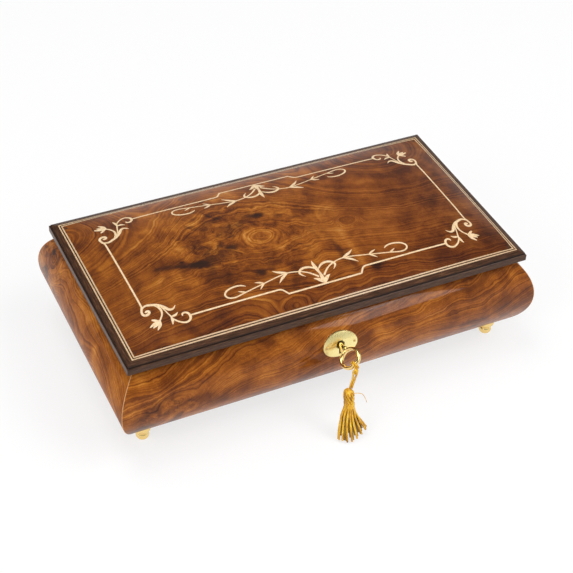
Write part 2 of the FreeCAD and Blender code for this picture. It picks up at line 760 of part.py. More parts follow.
def cord_path(points, share=0.45):
    """Straight runs joined by tangent arcs as large as the shorter run allows."""
    edges = []
    last = points[0]
    radii = []
    for before, corner, after in zip(points, points[1:], points[2:]):
        back = (before - corner).normalize()
        ahead = (after - corner).normalize()
        length = share * min((before - corner).Length, (after - corner).Length)
        turn = math.pi - math.acos(max(-1.0, min(1.0, back.dot(ahead))))
        radius = length / math.tan(turn / 2)
        radii.append(round(radius, 2))
        first = corner + back * length
        second = corner + ahead * length
        bisector = (back + ahead).normalize()
        middle = corner + bisector * (math.hypot(radius, length) - radius)
        edges.append(Part.LineSegment(last, first).toShape())
        edges.append(Part.Arc(first, middle, second).toShape())
        last = second
    edges.append(Part.LineSegment(last, points[-1]).toShape())
    print("cord radii", radii)
    return Part.Wire(edges)


def tassel_cord():
    """The doubled cord as one round tube."""
    path = cord_path(cord_route())
    start = path.Edges[0].valueAt(path.Edges[0].FirstParameter)
    along = path.Edges[0].tangentAt(path.Edges[0].FirstParameter)
    ring = Part.Wire(Part.makeCircle(CORD_DIAMETER / 2, start, along))
    tube = path.makePipeShell([ring], True, False)
    print("cord length", round(path.Length, 2), "volume share", round(
        tube.Volume / (path.Length * math.pi * CORD_DIAMETER ** 2 / 4), 4))
    return tube.cut(tassel_head_space())


def level_ring(height, across, deep):
    """A level oval of the tassel at a height."""
    centre = tassel_axis(height)
    if abs(across - deep) < 1e-9:
        return Part.Wire(Part.makeCircle(across / 2, centre, Z))
    return Part.Wire(Part.Ellipse(centre, across / 2, deep / 2).toShape())


def tassel_head_space():
    """The room under the cord's two ends."""
    low = tassel_axis(TASSEL_TOP)
    r = TASSEL_HEAD_DIAMETER
    return box(low.x - r, low.x + r, low.y - r, low.y + r, 0, TASSEL_TOP)


def tassel_head():
    """A bound ball over a whipped neck."""
    ball_height = TASSEL_TOP - TASSEL_NECK
    d = TASSEL_HEAD_DIAMETER
    neck = TASSEL_NECK_DIAMETER
    ball = Part.makeLoft(
        [
            level_ring(TASSEL_NECK, neck * 0.94, neck * 0.94),
            level_ring(TASSEL_NECK + ball_height * 0.25, d * 0.95, d * 0.95),
            level_ring(TASSEL_NECK + ball_height * 0.55, d, d),
            level_ring(TASSEL_NECK + ball_height * 0.85, d * 0.8, d * 0.8),
            level_ring(TASSEL_TOP, d * 0.52, d * 0.52),
        ],
        True,
    )
    band = Part.makeLoft([level_ring(TASSEL_SKIRT, neck, neck), level_ring(TASSEL_NECK, neck, neck)], True)
    return joined(ball, band)


def tassel_skirt():
    """Threads that spread from the neck and stand on the surface."""
    top = TASSEL_NECK_DIAMETER * 0.92
    mid = TASSEL_SKIRT * 0.55
    return Part.makeLoft(
        [
            level_ring(0, SKIRT_SPREAD, SKIRT_DEPTH),
            level_ring(mid, (SKIRT_SPREAD + top) * 0.5, (SKIRT_DEPTH + top) * 0.48),
            level_ring(TASSEL_SKIRT, top * 1.001, top),
        ],
        True,
    )


def dome_height(x, y):
    """The lid's pillow: level along its edges, fullest in the middle."""
    ends = 1 - abs(x / PANEL_X) ** DOME_END_POWER
    sides = 1 - abs(y / PANEL_Y) ** DOME_SIDE_POWER
    return LID_TOP + DOME_RISE * ends * sides


def closer_to_ends(half, count):
    """Places from -half to half that crowd towards both ends."""
    return [half * math.sin(math.pi * (i / (count - 1) - 0.5)) for i in range(count)]


def dome_solid():
    """The space under the domed surface, a little wider than the panel."""
    xs = closer_to_ends(PANEL_X + MOULDING_WIDTH, DOME_ROWS)
    ys = closer_to_ends(PANEL_Y + MOULDING_WIDTH / 2, DOME_COLUMNS)
    surface = Part.BSplineSurface()
    surface.interpolate([[V(x, y, dome_height(x, y)) for y in ys] for x in xs])
    return surface.toShape().extrude(Z * -(LID_EDGE + 2 * DOME_RISE))


def string_ring(inset):
    """One line of stringing seen from above, as a tall frame."""
    x = PANEL_X - inset
    y = PANEL_Y - inset
    w = STRING_WIDTH
    top = LID_TOP + DOME_RISE
    return box(-x, x, -y, y, LID_BOTTOM, top).cut(box(w - x, x - w, w - y, y - w, LID_BOTTOM, top))


def lid_panel_and_stringing():
    """The domed panel, cut for hinges and strike, and the lines let into its top."""
    blank = box(-PANEL_X, PANEL_X, -PANEL_Y, PANEL_Y, LID_BOTTOM, LID_TOP + DOME_RISE).common(dome_solid())
    skin = blank.cut(blank.translated(Z * -STRING_DEPTH))
    strings = [string_ring(STRING_INSET + k * STRING_SPACING).common(skin) for k in (0, 1)]
    panel = blank.cut(strings + hinge_leaf_plan(LID_BOTTOM) + [strike_plate_bed()])
    panel = holed(panel, wood_screw, hinge_screw_places(LID_BOTTOM) + strike_screw_places(), Z)
    return panel, strings


def lid_mouldings():
    """Four mitred strips round the panel, relieved for the hinge leaves at the back."""
    section = moulding_section()
    front = mitred_rail(section, PANEL_X, PANEL_Y, MOULDING_WIDTH)
    end = mitred_rail(section, PANEL_Y, PANEL_X, MOULDING_WIDTH)
    back = turned(front, 180).cut(hinge_leaf_plan(LID_BOTTOM))
    return [front, back, turned(end, -90), turned(end, 90)]


def lid_lining():
    """A velvet-covered board on the lid's underside, clear of the walls and of the staple."""
    x = INNER_X - LID_LINING_MARGIN
    y = INNER_Y - LID_LINING_MARGIN
    board = box(-x, x, -y, y, LID_LINING_BOTTOM, LID_BOTTOM)
    return rounded_upright(board, LID_LINING_MARGIN)


def walls():
    """Front, back, left and right walls with their mortises and holes."""
    section = wall_section()
    long_wall = mitred_rail(section, INNER_X, INNER_Y, WALL)
    end_wall = mitred_rail(section, INNER_Y, INNER_X, WALL)
    studs = []
    for place in foot_places().values():
        top = place + Z * (FOOT_HEIGHT + STUD_LENGTH + SCREW_CLEARANCE)
        studs.append(rod(STUD_DIAMETER / 2 + SCREW_CLEARANCE, place, top))
    lock_holes = keyhole(-HALF_Y, -INNER_Y)
    pins = [rod(ESCUTCHEON_PIN / 4 + PIN_FIT, a, a + Y * WALL / 3) for a in escutcheon_pin_places()]
    front = holed(long_wall.cut([lock_case(), lock_holes] + pins), wood_screw, lock_screw_places(), -Y)
    leaf_beds = hinge_leaf_plan(CASE_TOP - HINGE_LEAF)
    back = holed(turned(long_wall, 180).cut(leaf_beds), wood_screw, hinge_screw_places(CASE_TOP), -Z)
    left = turned(end_wall, -90)
    right = turned(end_wall, 90)
    return [wall.cut(studs) for wall in (front, back, left, right)]


def bed_screw_places(height):
    left = BED_LEFT + BED_SCREW_INSET
    right = BED_RIGHT - BED_SCREW_INSET
    front = BED_FRONT + BED_SCREW_INSET
    back = BED_BACK - BED_SCREW_INSET
    return [V(left, front, height), V(left, back, height), V(right, back, height)]


def bottom_panel():
    """A plywood panel held in the walls' grooves, pierced for the winder and the bed's screws."""
    x = INNER_X + GROOVE_DEPTH - PANEL_CLEARANCE
    y = INNER_Y + GROOVE_DEPTH - PANEL_CLEARANCE
    panel = box(-x, x, -y, y, FLOOR_BOTTOM, FLOOR_TOP)
    low = in_case(Z * FLOOR_BOTTOM)
    panel = panel.cut(rod(WINDING_ARBOR, low, low + Z * BOTTOM_THICKNESS))
    return holed(panel, machine_screw, [in_case(place) for place in bed_screw_places(FLOOR_BOTTOM)], Z)


def divider():
    return box(DIVIDER_X, BAY_X, -INNER_Y, INNER_Y, FLOOR_TOP, COVER_TOP)


def cover_ledges():
    """Four strips on the walls of the movement's bay that carry the clear cover."""
    bottom = COVER_BOTTOM - LEDGE_HEIGHT
    front = box(BAY_X, INNER_X, -INNER_Y, LEDGE - INNER_Y, bottom, COVER_BOTTOM)
    back = box(BAY_X, INNER_X, INNER_Y - LEDGE, INNER_Y, bottom, COVER_BOTTOM)
    left = box(BAY_X, BAY_X + LEDGE, LEDGE - INNER_Y, INNER_Y - LEDGE, bottom, COVER_BOTTOM)
    right = box(INNER_X - LEDGE, INNER_X, LEDGE - INNER_Y, INNER_Y - LEDGE, bottom, COVER_BOTTOM)
    return [front, back, left, right]


def movement_cover():
    """A clear sheet over the movement, pierced for the stop rod."""
    c = COVER_CLEARANCE
    sheet = box(BAY_X + c, INNER_X - c, c - INNER_Y, INNER_Y - c, COVER_BOTTOM, COVER_TOP)
    start = in_case(V(STOP_X, STOP_Y, COVER_BOTTOM))
    return sheet.cut(rod(STOP_ROD / 2 + COVER_CLEARANCE, start, start + Z * COVER_THICKNESS))


def lining_floor():
    return box(-INNER_X, DIVIDER_X, -INNER_Y, INNER_Y, FLOOR_TOP, FLOOR_TOP + LINING)


def lining_walls():
    """Velvet-covered boards round the compartment; the front one is cut round the lock."""
    low = FLOOR_TOP + LINING
    flange = LOCK_WIDTH / 2 + LOCK_FLANGE + PANEL_CLEARANCE
    front = box(-INNER_X, DIVIDER_X, -INNER_Y, LINING - INNER_Y, low, LINING_TOP)
    front = front.cut(box(-flange, flange, -INNER_Y, LINING - INNER_Y, CASE_TOP - LOCK_HEIGHT, LINING_TOP))
    back = box(-INNER_X, DIVIDER_X, INNER_Y - LINING, INNER_Y, low, LINING_TOP)
    left = box(-INNER_X, LINING - INNER_X, LINING - INNER_Y, INNER_Y - LINING, low, LINING_TOP)
    right = box(DIVIDER_X - LINING, DIVIDER_X, LINING - INNER_Y, INNER_Y - LINING, low, COVER_TOP)
    return [front, back, left, right]


def bore_along_y(shape, at, diameter, start, end):
    """The shape bored for an arbor that runs along Y at an (x, z) place."""
    return shape.cut(rod(diameter / 2 + RUNNING_FIT, V(at[0], start, at[1]), V(at[0], end, at[1])))


def bedplate():
    """The cast plate that carries the whole movement."""
    blank = box(BED_LEFT, BED_RIGHT, BED_FRONT, BED_BACK, FLOOR_TOP, BED_TOP)
    plate = rounded_upright(blank, BED_CORNER)
    plate = plate.cut(rod(WINDING_ARBOR / 2 + RUNNING_FIT, Z * FLOOR_TOP, Z * BED_TOP))
    plate = holed(plate, machine_screw, bed_screw_places(FLOOR_BOTTOM), Z)
    return holed(plate, machine_screw, bed_top_screw_places(), -Z)


def bearing_screw_places():
    y = REAR_BEARING_Y - BEARING - BEARING_FOOT / 2
    x = BEARING_WIDTH / 2 - MACHINE_HEAD / 2
    return [V(side * x, y, BED_TOP + BEARING_FOOT_HEIGHT) for side in (-1, 1)]


def cock_screw_places():
    y = COCK_Y - FRAME_PLATE - MACHINE_HEAD / 2 - END_PLAY / 2
    return [V(FLY_X, y, BED_TOP + FRAME_PLATE)]


def frame_screw_places():
    x = FLY_X + FRAME_SIDE / 2
    return [V(x, FRAME_Y + MACHINE_HEAD, BED_TOP + FRAME_PLATE)]


def bed_top_screw_places():
    return bearing_screw_places() + cock_screw_places() + frame_screw_places()


def rear_bearing():
    """An upright with a foot, bored for the back of the cylinder's arbor."""
    x0 = -BEARING_WIDTH / 2
    x1 = BEARING_WIDTH / 2
    back = REAR_BEARING_Y
    front = back - BEARING
    upright = box(x0, x1, front, back, BED_TOP, ARBOR_Z + BEARING_CROWN)
    shoulders = [
        e
        for e in upright.Edges
        if e.CenterOfMass.z > ARBOR_Z and abs(e.tangentAt(e.FirstParameter).y) > 0.99
    ]
    upright = upright.makeFillet(BEARING_CROWN, shoulders)
    sole = box(x0, x1, front - BEARING_FOOT, front, BED_TOP, BED_TOP + BEARING_FOOT_HEIGHT)
    whole = bore_along_y(joined(upright, sole), CYLINDER_AT, CYLINDER_ARBOR, front, back)
    return holed(whole, machine_screw, bearing_screw_places(), -Z)


def governor_frame():
    """Three uprights on one sole: they carry the cylinder's front end and both governor arbors."""
    right = FLY_X + FRAME_SIDE
    inner_left = PIN_TIP
    sole_left = inner_left - FRAME_SIDE
    middle_back = FRAME_Y
    middle_front = FRAME_Y - FRAME_PLATE
    front_back = FRAME_FRONT
    front = FRAME_FRONT - FRAME_PLATE
    rear = FRAME_Y + END_PLAY + WHEEL_WIDTH + END_PLAY
    first_top = FIRST_AT[1] + FRAME_HEAD
    middle = box(-FRAME_SIDE, right, middle_front, middle_back, BED_TOP, FRAME_TOP)
    fore = box(SECOND_AT[0] - FRAME_SIDE, right, front, front_back, BED_TOP, FRAME_TOP)
    after = box(inner_left, right, rear, rear + FRAME_PLATE, BED_TOP, first_top)
    sole = box(sole_left, right, front, rear + FRAME_PLATE, BED_TOP, BED_TOP + FRAME_PLATE)
    whole = joined(middle, fore, after, sole)
    whole = bore_along_y(whole, CYLINDER_AT, CYLINDER_ARBOR, middle_front, middle_back)
    whole = bore_along_y(whole, FIRST_AT, TRAIN_ARBOR, front, rear + FRAME_PLATE)
    whole = bore_along_y(whole, SECOND_AT, TRAIN_ARBOR, front, middle_back)
    pivot = V(FLY_X, WORM_Y, BED_TOP)
    whole = whole.cut(rod(TRAIN_ARBOR / 2 + RUNNING_FIT, pivot, pivot + Z * FRAME_PLATE))
    return holed(whole, machine_screw, frame_screw_places(), -Z)


def governor_cock():
    """A bracket over the fan that holds the top pivot of the fly's arbor."""
    half = FRAME_SIDE - END_PLAY
    x0 = FLY_X - half
    x1 = FLY_X + half
    top = COCK_BOTTOM + FRAME_PLATE
    post = box(x0, x1, COCK_Y - FRAME_PLATE, COCK_Y, BED_TOP, top)
    arm = box(x0, x1, COCK_Y, WORM_Y + half, COCK_BOTTOM, top)
    sole = box(x0, x1, COCK_FRONT, COCK_Y - FRAME_PLATE, BED_TOP, BED_TOP + FRAME_PLATE)
    pivot = V(FLY_X, WORM_Y, COCK_BOTTOM)
    whole = joined(post, arm, sole).cut(rod(TRAIN_ARBOR / 2 + RUNNING_FIT, pivot, pivot + Z * FRAME_PLATE))
    return holed(whole, machine_screw, cock_screw_places(), -Z)


def tooth_half_angle(radius, teeth, module, thinned):
    """Half the angle that an involute tooth covers at a radius."""
    pressure = math.radians(PRESSURE_ANGLE)
    pitch = module * teeth / 2
    base = pitch * math.cos(pressure)
    here = math.acos(min(1.0, base / radius))
    width = math.pi * module / 2 - thinned
    return width / (2 * pitch) + math.tan(pressure) - pressure - math.tan(here) + here


def spur_gear(teeth, module, width, bore, facing, thinned=BACKLASH):
    """A gear in the XZ plane from y=0 back to y=width, with one tooth centred at the angle facing."""
    pitch = module * teeth / 2
    tip = pitch + TIP_SHARE * module
    root = pitch - ROOT_SHARE * module
    flank = [root, max(root, pitch * math.cos(math.radians(PRESSURE_ANGLE))), pitch, tip]
    points = []
    for tooth in range(teeth):
        middle = math.radians(facing) + 2 * math.pi * tooth / teeth
        half = [tooth_half_angle(r, teeth, module, thinned) for r in flank]
        sides = [(r, middle - h) for r, h in zip(flank, half)]
        sides += [(r, middle + h) for r, h in zip(flank[::-1], half[::-1])]
        points += [V(r * math.cos(a), 0, r * math.sin(a)) for r, a in sides]
    return slab(points, Y * width).cut(rod(bore / 2, V(0, 0, 0), Y * width))


def placed(gear, at, y):
    gear.translate(V(at[0], y, at[1]))
    return gear


def facing_gap(teeth, angle):
    """The angle at which a gear's tooth stands so that a gap faces the given angle."""
    return angle + 180.0 / teeth


def spring_barrel():
    """A cup for the mainspring with face teeth round its rim."""
    centre = Z * BARREL_BOTTOM
    inner = BARREL_OUTER - FACE_TOOTH_LENGTH
    cup = rod(BARREL_OUTER, centre, centre + Z * BARREL_HEIGHT)
    cup = cup.cut(rod(inner, centre + Z * BARREL_FLOOR, centre + Z * BARREL_HEIGHT))
    pitch_half = (math.pi * BARREL_MODULE / 2 - FACE_BACKLASH) / 2
    slope = math.tan(math.radians(PRESSURE_ANGLE)) * BARREL_MODULE
    root_half = pitch_half + ROOT_SHARE * slope
    tip_half = pitch_half - TIP_SHARE * slope
    height = BARREL_MODULE * (ROOT_SHARE + TIP_SHARE)
    rim = BARREL_TOP - BARREL_FLOOR / 4
    tip = BARREL_TOP + height
    half_outline = [(root_half, rim), (root_half, BARREL_TOP), (tip_half, tip)]
    points = half_outline + [(-x, z) for x, z in half_outline[::-1]]
    tooth = slab([V(x, -BARREL_OUTER, z) for x, z in points], Y * FACE_TOOTH_LENGTH)
    ring = rod(BARREL_OUTER, centre, centre + Z * (BARREL_HEIGHT + height))
    tooth = tooth.common(ring)
    step = 360.0 / BARREL_TEETH
    teeth = [tooth.rotated(centre, Z, step * k) for k in range(BARREL_TEETH)]
    bored = cup.cut(rod(WINDING_ARBOR / 2 + RUNNING_FIT, centre, centre + Z * BARREL_FLOOR))
    return joined(bored, *teeth)


def barrel_cap():
    """The disc that closes the barrel."""
    top = Z * (BARREL_TOP - CAP_SINK)
    disc = rod(BARREL_OUTER - FACE_TOOTH_LENGTH - PIN_FIT, top - Z * CAP_THICKNESS, top)
    return disc.cut(rod(WINDING_ARBOR / 2 + RUNNING_FIT, top - Z * CAP_THICKNESS, top))


def mainspring():
    """A flat spiral of half turns from the hub to the barrel's wall."""
    wall = BARREL_OUTER - FACE_TOOTH_LENGTH - SPRING_THICKNESS
    step = (wall - SPRING_THICKNESS - SPRING_HUB) / (2 * SPRING_TURNS)
    low = BARREL_BOTTOM + BARREL_FLOOR + END_PLAY / 2

    def spiral(offset):
        edges = []
        centre = 0.0
        radius = SPRING_HUB + offset
        for half in range(2 * SPRING_TURNS):
            side = 1 if half % 2 == 0 else -1
            a = V(centre + side * radius, 0, 0)
            b = V(centre, side * radius, 0)
            c = V(centre - side * radius, 0, 0)
            edges.append(Part.Arc(a, b, c).toShape())
            centre += side * step
            radius += step
        return edges

    inner = spiral(0)
    outer = spiral(SPRING_THICKNESS)
    start = Part.makeLine(inner[0].Vertexes[0].Point, outer[0].Vertexes[0].Point)
    end = Part.makeLine(inner[-1].Vertexes[-1].Point, outer[-1].Vertexes[-1].Point)
    wire = Part.Wire(Part.__sortEdges__(inner + outer + [start, end]))
    return Part.Face(wire).extrude(Z * SPRING_WIDTH).translated(Z * low)


def winding_arbor():
    """The upright arbor on which the spring is wound, with a hub inside the barrel."""
    low = Z * (WINDING_KEY_GROUND + WINDING_KEY_HEIGHT - END_PLAY)
    hub_low = Z * (BARREL_BOTTOM + BARREL_FLOOR + PIN_FIT)
    hub_high = Z * (BARREL_TOP - CAP_SINK - CAP_THICKNESS - PIN_FIT)
    hub = rod(SPRING_HUB - SPRING_THICKNESS, hub_low, hub_high)
    return joined(rod(WINDING_ARBOR / 2, low, Z * BARREL_TOP), hub)


def winding_key():
    """A two-winged key under the case, on the arbor's lower end."""
    low = WINDING_KEY_GROUND
    high = low + WINDING_KEY_HEIGHT
    half = WINDING_KEY_SPAN / 2
    thin = WINDING_KEY_THICKNESS / 2
    wings = box(-half, half, -thin, thin, low, high)
    corners = [e for e in wings.Edges if abs(e.tangentAt(e.FirstParameter).y) > 0.99]
    wings = wings.makeFillet(WINDING_KEY_HEIGHT * 0.45, corners)
    boss = rod(WINDING_KEY_BOSS / 2, V(0, 0, low + END_PLAY), V(0, 0, high + BOTTOM_RECESS / 4))
    eye = rod(WINDING_ARBOR / 2, V(0, 0, high - END_PLAY), V(0, 0, high + BOTTOM_RECESS))
    return joined(wings, boss).cut(eye)


def cylinder():
    """The drum, bored for its arbor, with rows of pins opposite the comb's teeth."""
    front = V(0, CYLINDER_FRONT, ARBOR_Z)
    radius = CYLINDER_DIAMETER / 2
    drum = rod(radius, front, front + Y * CYLINDER_LENGTH)
    half = PIN_WIDTH / 2
    pins = []
    for tooth in range(COMB_TEETH):
        y = comb_tooth_middle(tooth)
        for repeat in range(PINS_PER_TOOTH):
            angle = 360.0 * repeat / PINS_PER_TOOTH + PIN_STAGGER * tooth
            pin = box(-half, half, y - half, y + half, radius - PIN_HEIGHT / 2, radius + PIN_HEIGHT)
            pin.rotate(V(0, 0, 0), Y, angle)
            pin.translate(Z * ARBOR_Z)
            pins.append(pin)
    whole = drum.fuse(pins)
    return whole.cut(rod(CYLINDER_ARBOR / 2, front, front + Y * CYLINDER_LENGTH))


def cylinder_arbor():
    start = V(0, FRAME_Y - FRAME_PLATE - END_PLAY / 2, ARBOR_Z)
    end = V(0, PINION_Y + PINION_WIDTH / 2 + END_PLAY / 2, ARBOR_Z)
    return rod(CYLINDER_ARBOR / 2, start, end)


def cylinder_pinion():
    """The small gear that the barrel's face teeth turn, with a gap straight down."""
    facing = facing_gap(PINION_TEETH, -90.0)
    gear = spur_gear(PINION_TEETH, BARREL_MODULE, PINION_WIDTH, CYLINDER_ARBOR, facing)
    return placed(gear, CYLINDER_AT, PINION_Y - PINION_WIDTH / 2)


def cylinder_wheel():
    """The large gear on the front of the cylinder that drives the governor."""
    gear = spur_gear(END_WHEEL_TEETH, TRAIN_MODULE, WHEEL_WIDTH, CYLINDER_ARBOR, FIRST_ANGLE)
    return placed(gear, CYLINDER_AT, END_WHEEL_Y - WHEEL_WIDTH)


def first_governor_arbor():
    """An arbor with the pinion that meets the cylinder's wheel, and the first fine wheel."""
    r = TRAIN_ARBOR / 2
    rear = FRAME_Y + END_PLAY + WHEEL_WIDTH + END_PLAY
    shaft = rod(r, V(FIRST_AT[0], FRAME_FRONT - FRAME_PLATE, FIRST_AT[1]),
                V(FIRST_AT[0], rear + FRAME_PLATE, FIRST_AT[1]))
    facing = facing_gap(TRAIN_PINION_TEETH, FIRST_ANGLE + 180.0)
    pinion = spur_gear(TRAIN_PINION_TEETH, TRAIN_MODULE, WHEEL_WIDTH, TRAIN_ARBOR, facing)
    pinion = placed(pinion, FIRST_AT, END_WHEEL_Y - WHEEL_WIDTH)
    wheel = spur_gear(FIRST_WHEEL_TEETH, FINE_MODULE, THIN_WHEEL, TRAIN_ARBOR, SECOND_ANGLE)
    wheel = placed(wheel, FIRST_AT, FINE_Y - THIN_WHEEL)
    return joined(shaft, pinion, wheel)


def second_governor_arbor():
    """An arbor with a fine pinion and the wheel that turns the worm."""
    r = TRAIN_ARBOR / 2
    shaft = rod(r, V(SECOND_AT[0], FRAME_FRONT - FRAME_PLATE, SECOND_AT[1]),
                V(SECOND_AT[0], FRAME_Y, SECOND_AT[1]))
    facing = facing_gap(TRAIN_PINION_TEETH, SECOND_ANGLE + 180.0)
    pinion = spur_gear(TRAIN_PINION_TEETH, FINE_MODULE, THIN_WHEEL, TRAIN_ARBOR, facing)
    pinion = placed(pinion, SECOND_AT, FINE_Y - THIN_WHEEL)
    wheel = spur_gear(WORM_WHEEL_TEETH, TRAIN_MODULE, THIN_WHEEL, TRAIN_ARBOR, 0.0, WORM_BACKLASH)
    wheel = placed(wheel, SECOND_AT, WORM_Y - THIN_WHEEL / 2)
    return joined(shaft, pinion, wheel)


def fly_arbor():
    """An upright arbor with a single-start worm."""
    shaft = rod(TRAIN_ARBOR / 2, V(FLY_X, WORM_Y, BED_TOP), V(FLY_X, WORM_Y, COCK_BOTTOM + FRAME_PLATE))
    pitch = math.pi * TRAIN_MODULE
    root = WORM_RADIUS - ROOT_SHARE * TRAIN_MODULE
    tip = WORM_RADIUS + TIP_SHARE * TRAIN_MODULE
    low = SECOND_AT[1] - WORM_LENGTH / 2
    turns = WORM_LENGTH / pitch - 1
    slope = math.tan(math.radians(PRESSURE_ANGLE))
    half = (pitch / 2 - WORM_BACKLASH) / 2
    sunk = root - TRAIN_MODULE / 2
    section = Part.makePolygon(
        [
            V(sunk, 0, -half - slope * (WORM_RADIUS - sunk)),
            V(tip, 0, -half + slope * (tip - WORM_RADIUS)),
            V(tip, 0, half - slope * (tip - WORM_RADIUS)),
            V(sunk, 0, half + slope * (WORM_RADIUS - sunk)),
            V(sunk, 0, -half - slope * (WORM_RADIUS - sunk)),
        ]
    )
    helix = Part.makeHelix(pitch, turns * pitch, WORM_RADIUS)
    thread = Part.Wire(helix.Edges).makePipeShell([Part.Wire(section.Edges)], True, True)
    # a thread stands half a pitch from the tooth that faces the worm
    start = SECOND_AT[1] - pitch * round(turns / 2)
    thread.translate(V(FLY_X, WORM_Y, start))
    core = rod(root, V(FLY_X, WORM_Y, low), V(FLY_X, WORM_Y, low + WORM_LENGTH))
    return joined(shaft, core, thread)


def fly_fan():
    """Two thin blades on a hub, which beat the air and slow the train."""
    low = V(FLY_X, WORM_Y, FAN_BOTTOM)
    hub = rod(TRAIN_ARBOR, low, low + Z * FAN_HEIGHT)
    half = FAN_BLADE / 2
    blades = box(FLY_X - FAN_RADIUS, FLY_X + FAN_RADIUS, WORM_Y - half, WORM_Y + half, FAN_BOTTOM, FAN_TOP)
    return joined(hub, blades).cut(rod(TRAIN_ARBOR / 2, low, low + Z * FAN_HEIGHT))


def comb_tooth_middle(tooth):
    """The place along Y of one comb tooth, low notes at the front."""
    middle = (CYLINDER_FRONT + CYLINDER_BACK) / 2
    return middle + (tooth - (COMB_TEETH - 1) / 2) * COMB_PITCH


def comb_screw_places():
    x = COMB_HEEL_X - COMB_HEEL / 2
    span = COMB_PITCH * COMB_TEETH / 3
    middle = (CYLINDER_FRONT + CYLINDER_BACK) / 2
    return [V(x, middle + k * span, ARBOR_Z + COMB_THICKNESS / 2) for k in (-1, 0, 1)]


def comb():
    """A steel plate cut into tuned teeth that grow shorter towards the high notes."""
    half = (COMB_PITCH - COMB_SLOT) / 2
    points = []
    for tooth in range(COMB_TEETH):
        y = comb_tooth_middle(tooth)
        share = tooth / (COMB_TEETH - 1)
        root = COMB_TIP_X - COMB_LONG_TOOTH + share * (COMB_LONG_TOOTH - COMB_SHORT_TOOTH)
        points += [(root, y - half), (COMB_TIP_X, y - half), (COMB_TIP_X, y + half), (root, y + half)]
    back = COMB_HEEL_X - COMB_HEEL
    points += [(back, points[-1][1]), (back, points[0][1])]
    low = ARBOR_Z - COMB_THICKNESS / 2
    plate = slab([V(x, y, low) for x, y in points], Z * COMB_THICKNESS)
    return holed(plate, machine_screw, comb_screw_places(), -Z)


def comb_base():
    """The heavy block that the comb's heel is screwed to."""
    y0 = comb_tooth_middle(0) - COMB_PITCH / 2
    y1 = comb_tooth_middle(COMB_TEETH - 1) + COMB_PITCH / 2
    top = ARBOR_Z - COMB_THICKNESS / 2
    block = box(COMB_HEEL_X - COMB_HEEL, COMB_HEEL_X, y0, y1, BED_TOP, top)
    return holed(block, machine_screw, comb_screw_places(), -Z)


def stop_rod():
    """A rod that the closed lid holds down, with a wire finger beside the fan."""
    low = V(STOP_X, STOP_Y, BED_TOP + STOP_TRAVEL)
    shaft = rod(STOP_ROD / 2, low, V(STOP_X, STOP_Y, STOP_TOP))
    fan = V(FLY_X, WORM_Y, FINGER_Z)
    root = V(STOP_X, STOP_Y, FINGER_Z)
    away = (root - fan).normalize()
    finger = rod(STOP_FINGER / 2, fan + away * (FAN_RADIUS + STOP_CLEARANCE), root)
    return joined(shaft, finger)


def stop_guide():
    """A bracket on the end wall with two eyes for the stop rod, below its finger."""
    half = STOP_ROD / 2 + GUIDE_PLATE
    x0 = STOP_X - half
    x1 = STOP_X + half
    face = END_WALL_Y + GUIDE_PLATE
    low = BED_TOP + 2 * STOP_TRAVEL
    high = FINGER_Z - STOP_FINGER / 2 - STOP_CLEARANCE
    back = box(x0, x1, END_WALL_Y, face, low, high)
    lower = box(x0, x1, face, STOP_Y + half, low, low + GUIDE_PLATE)
    upper = box(x0, x1, face, STOP_Y + half, high - GUIDE_PLATE, high)
    eyes = rod(STOP_ROD / 2 + RUNNING_FIT, V(STOP_X, STOP_Y, low), V(STOP_X, STOP_Y, high))
    return joined(back, lower, upper).cut(eyes)


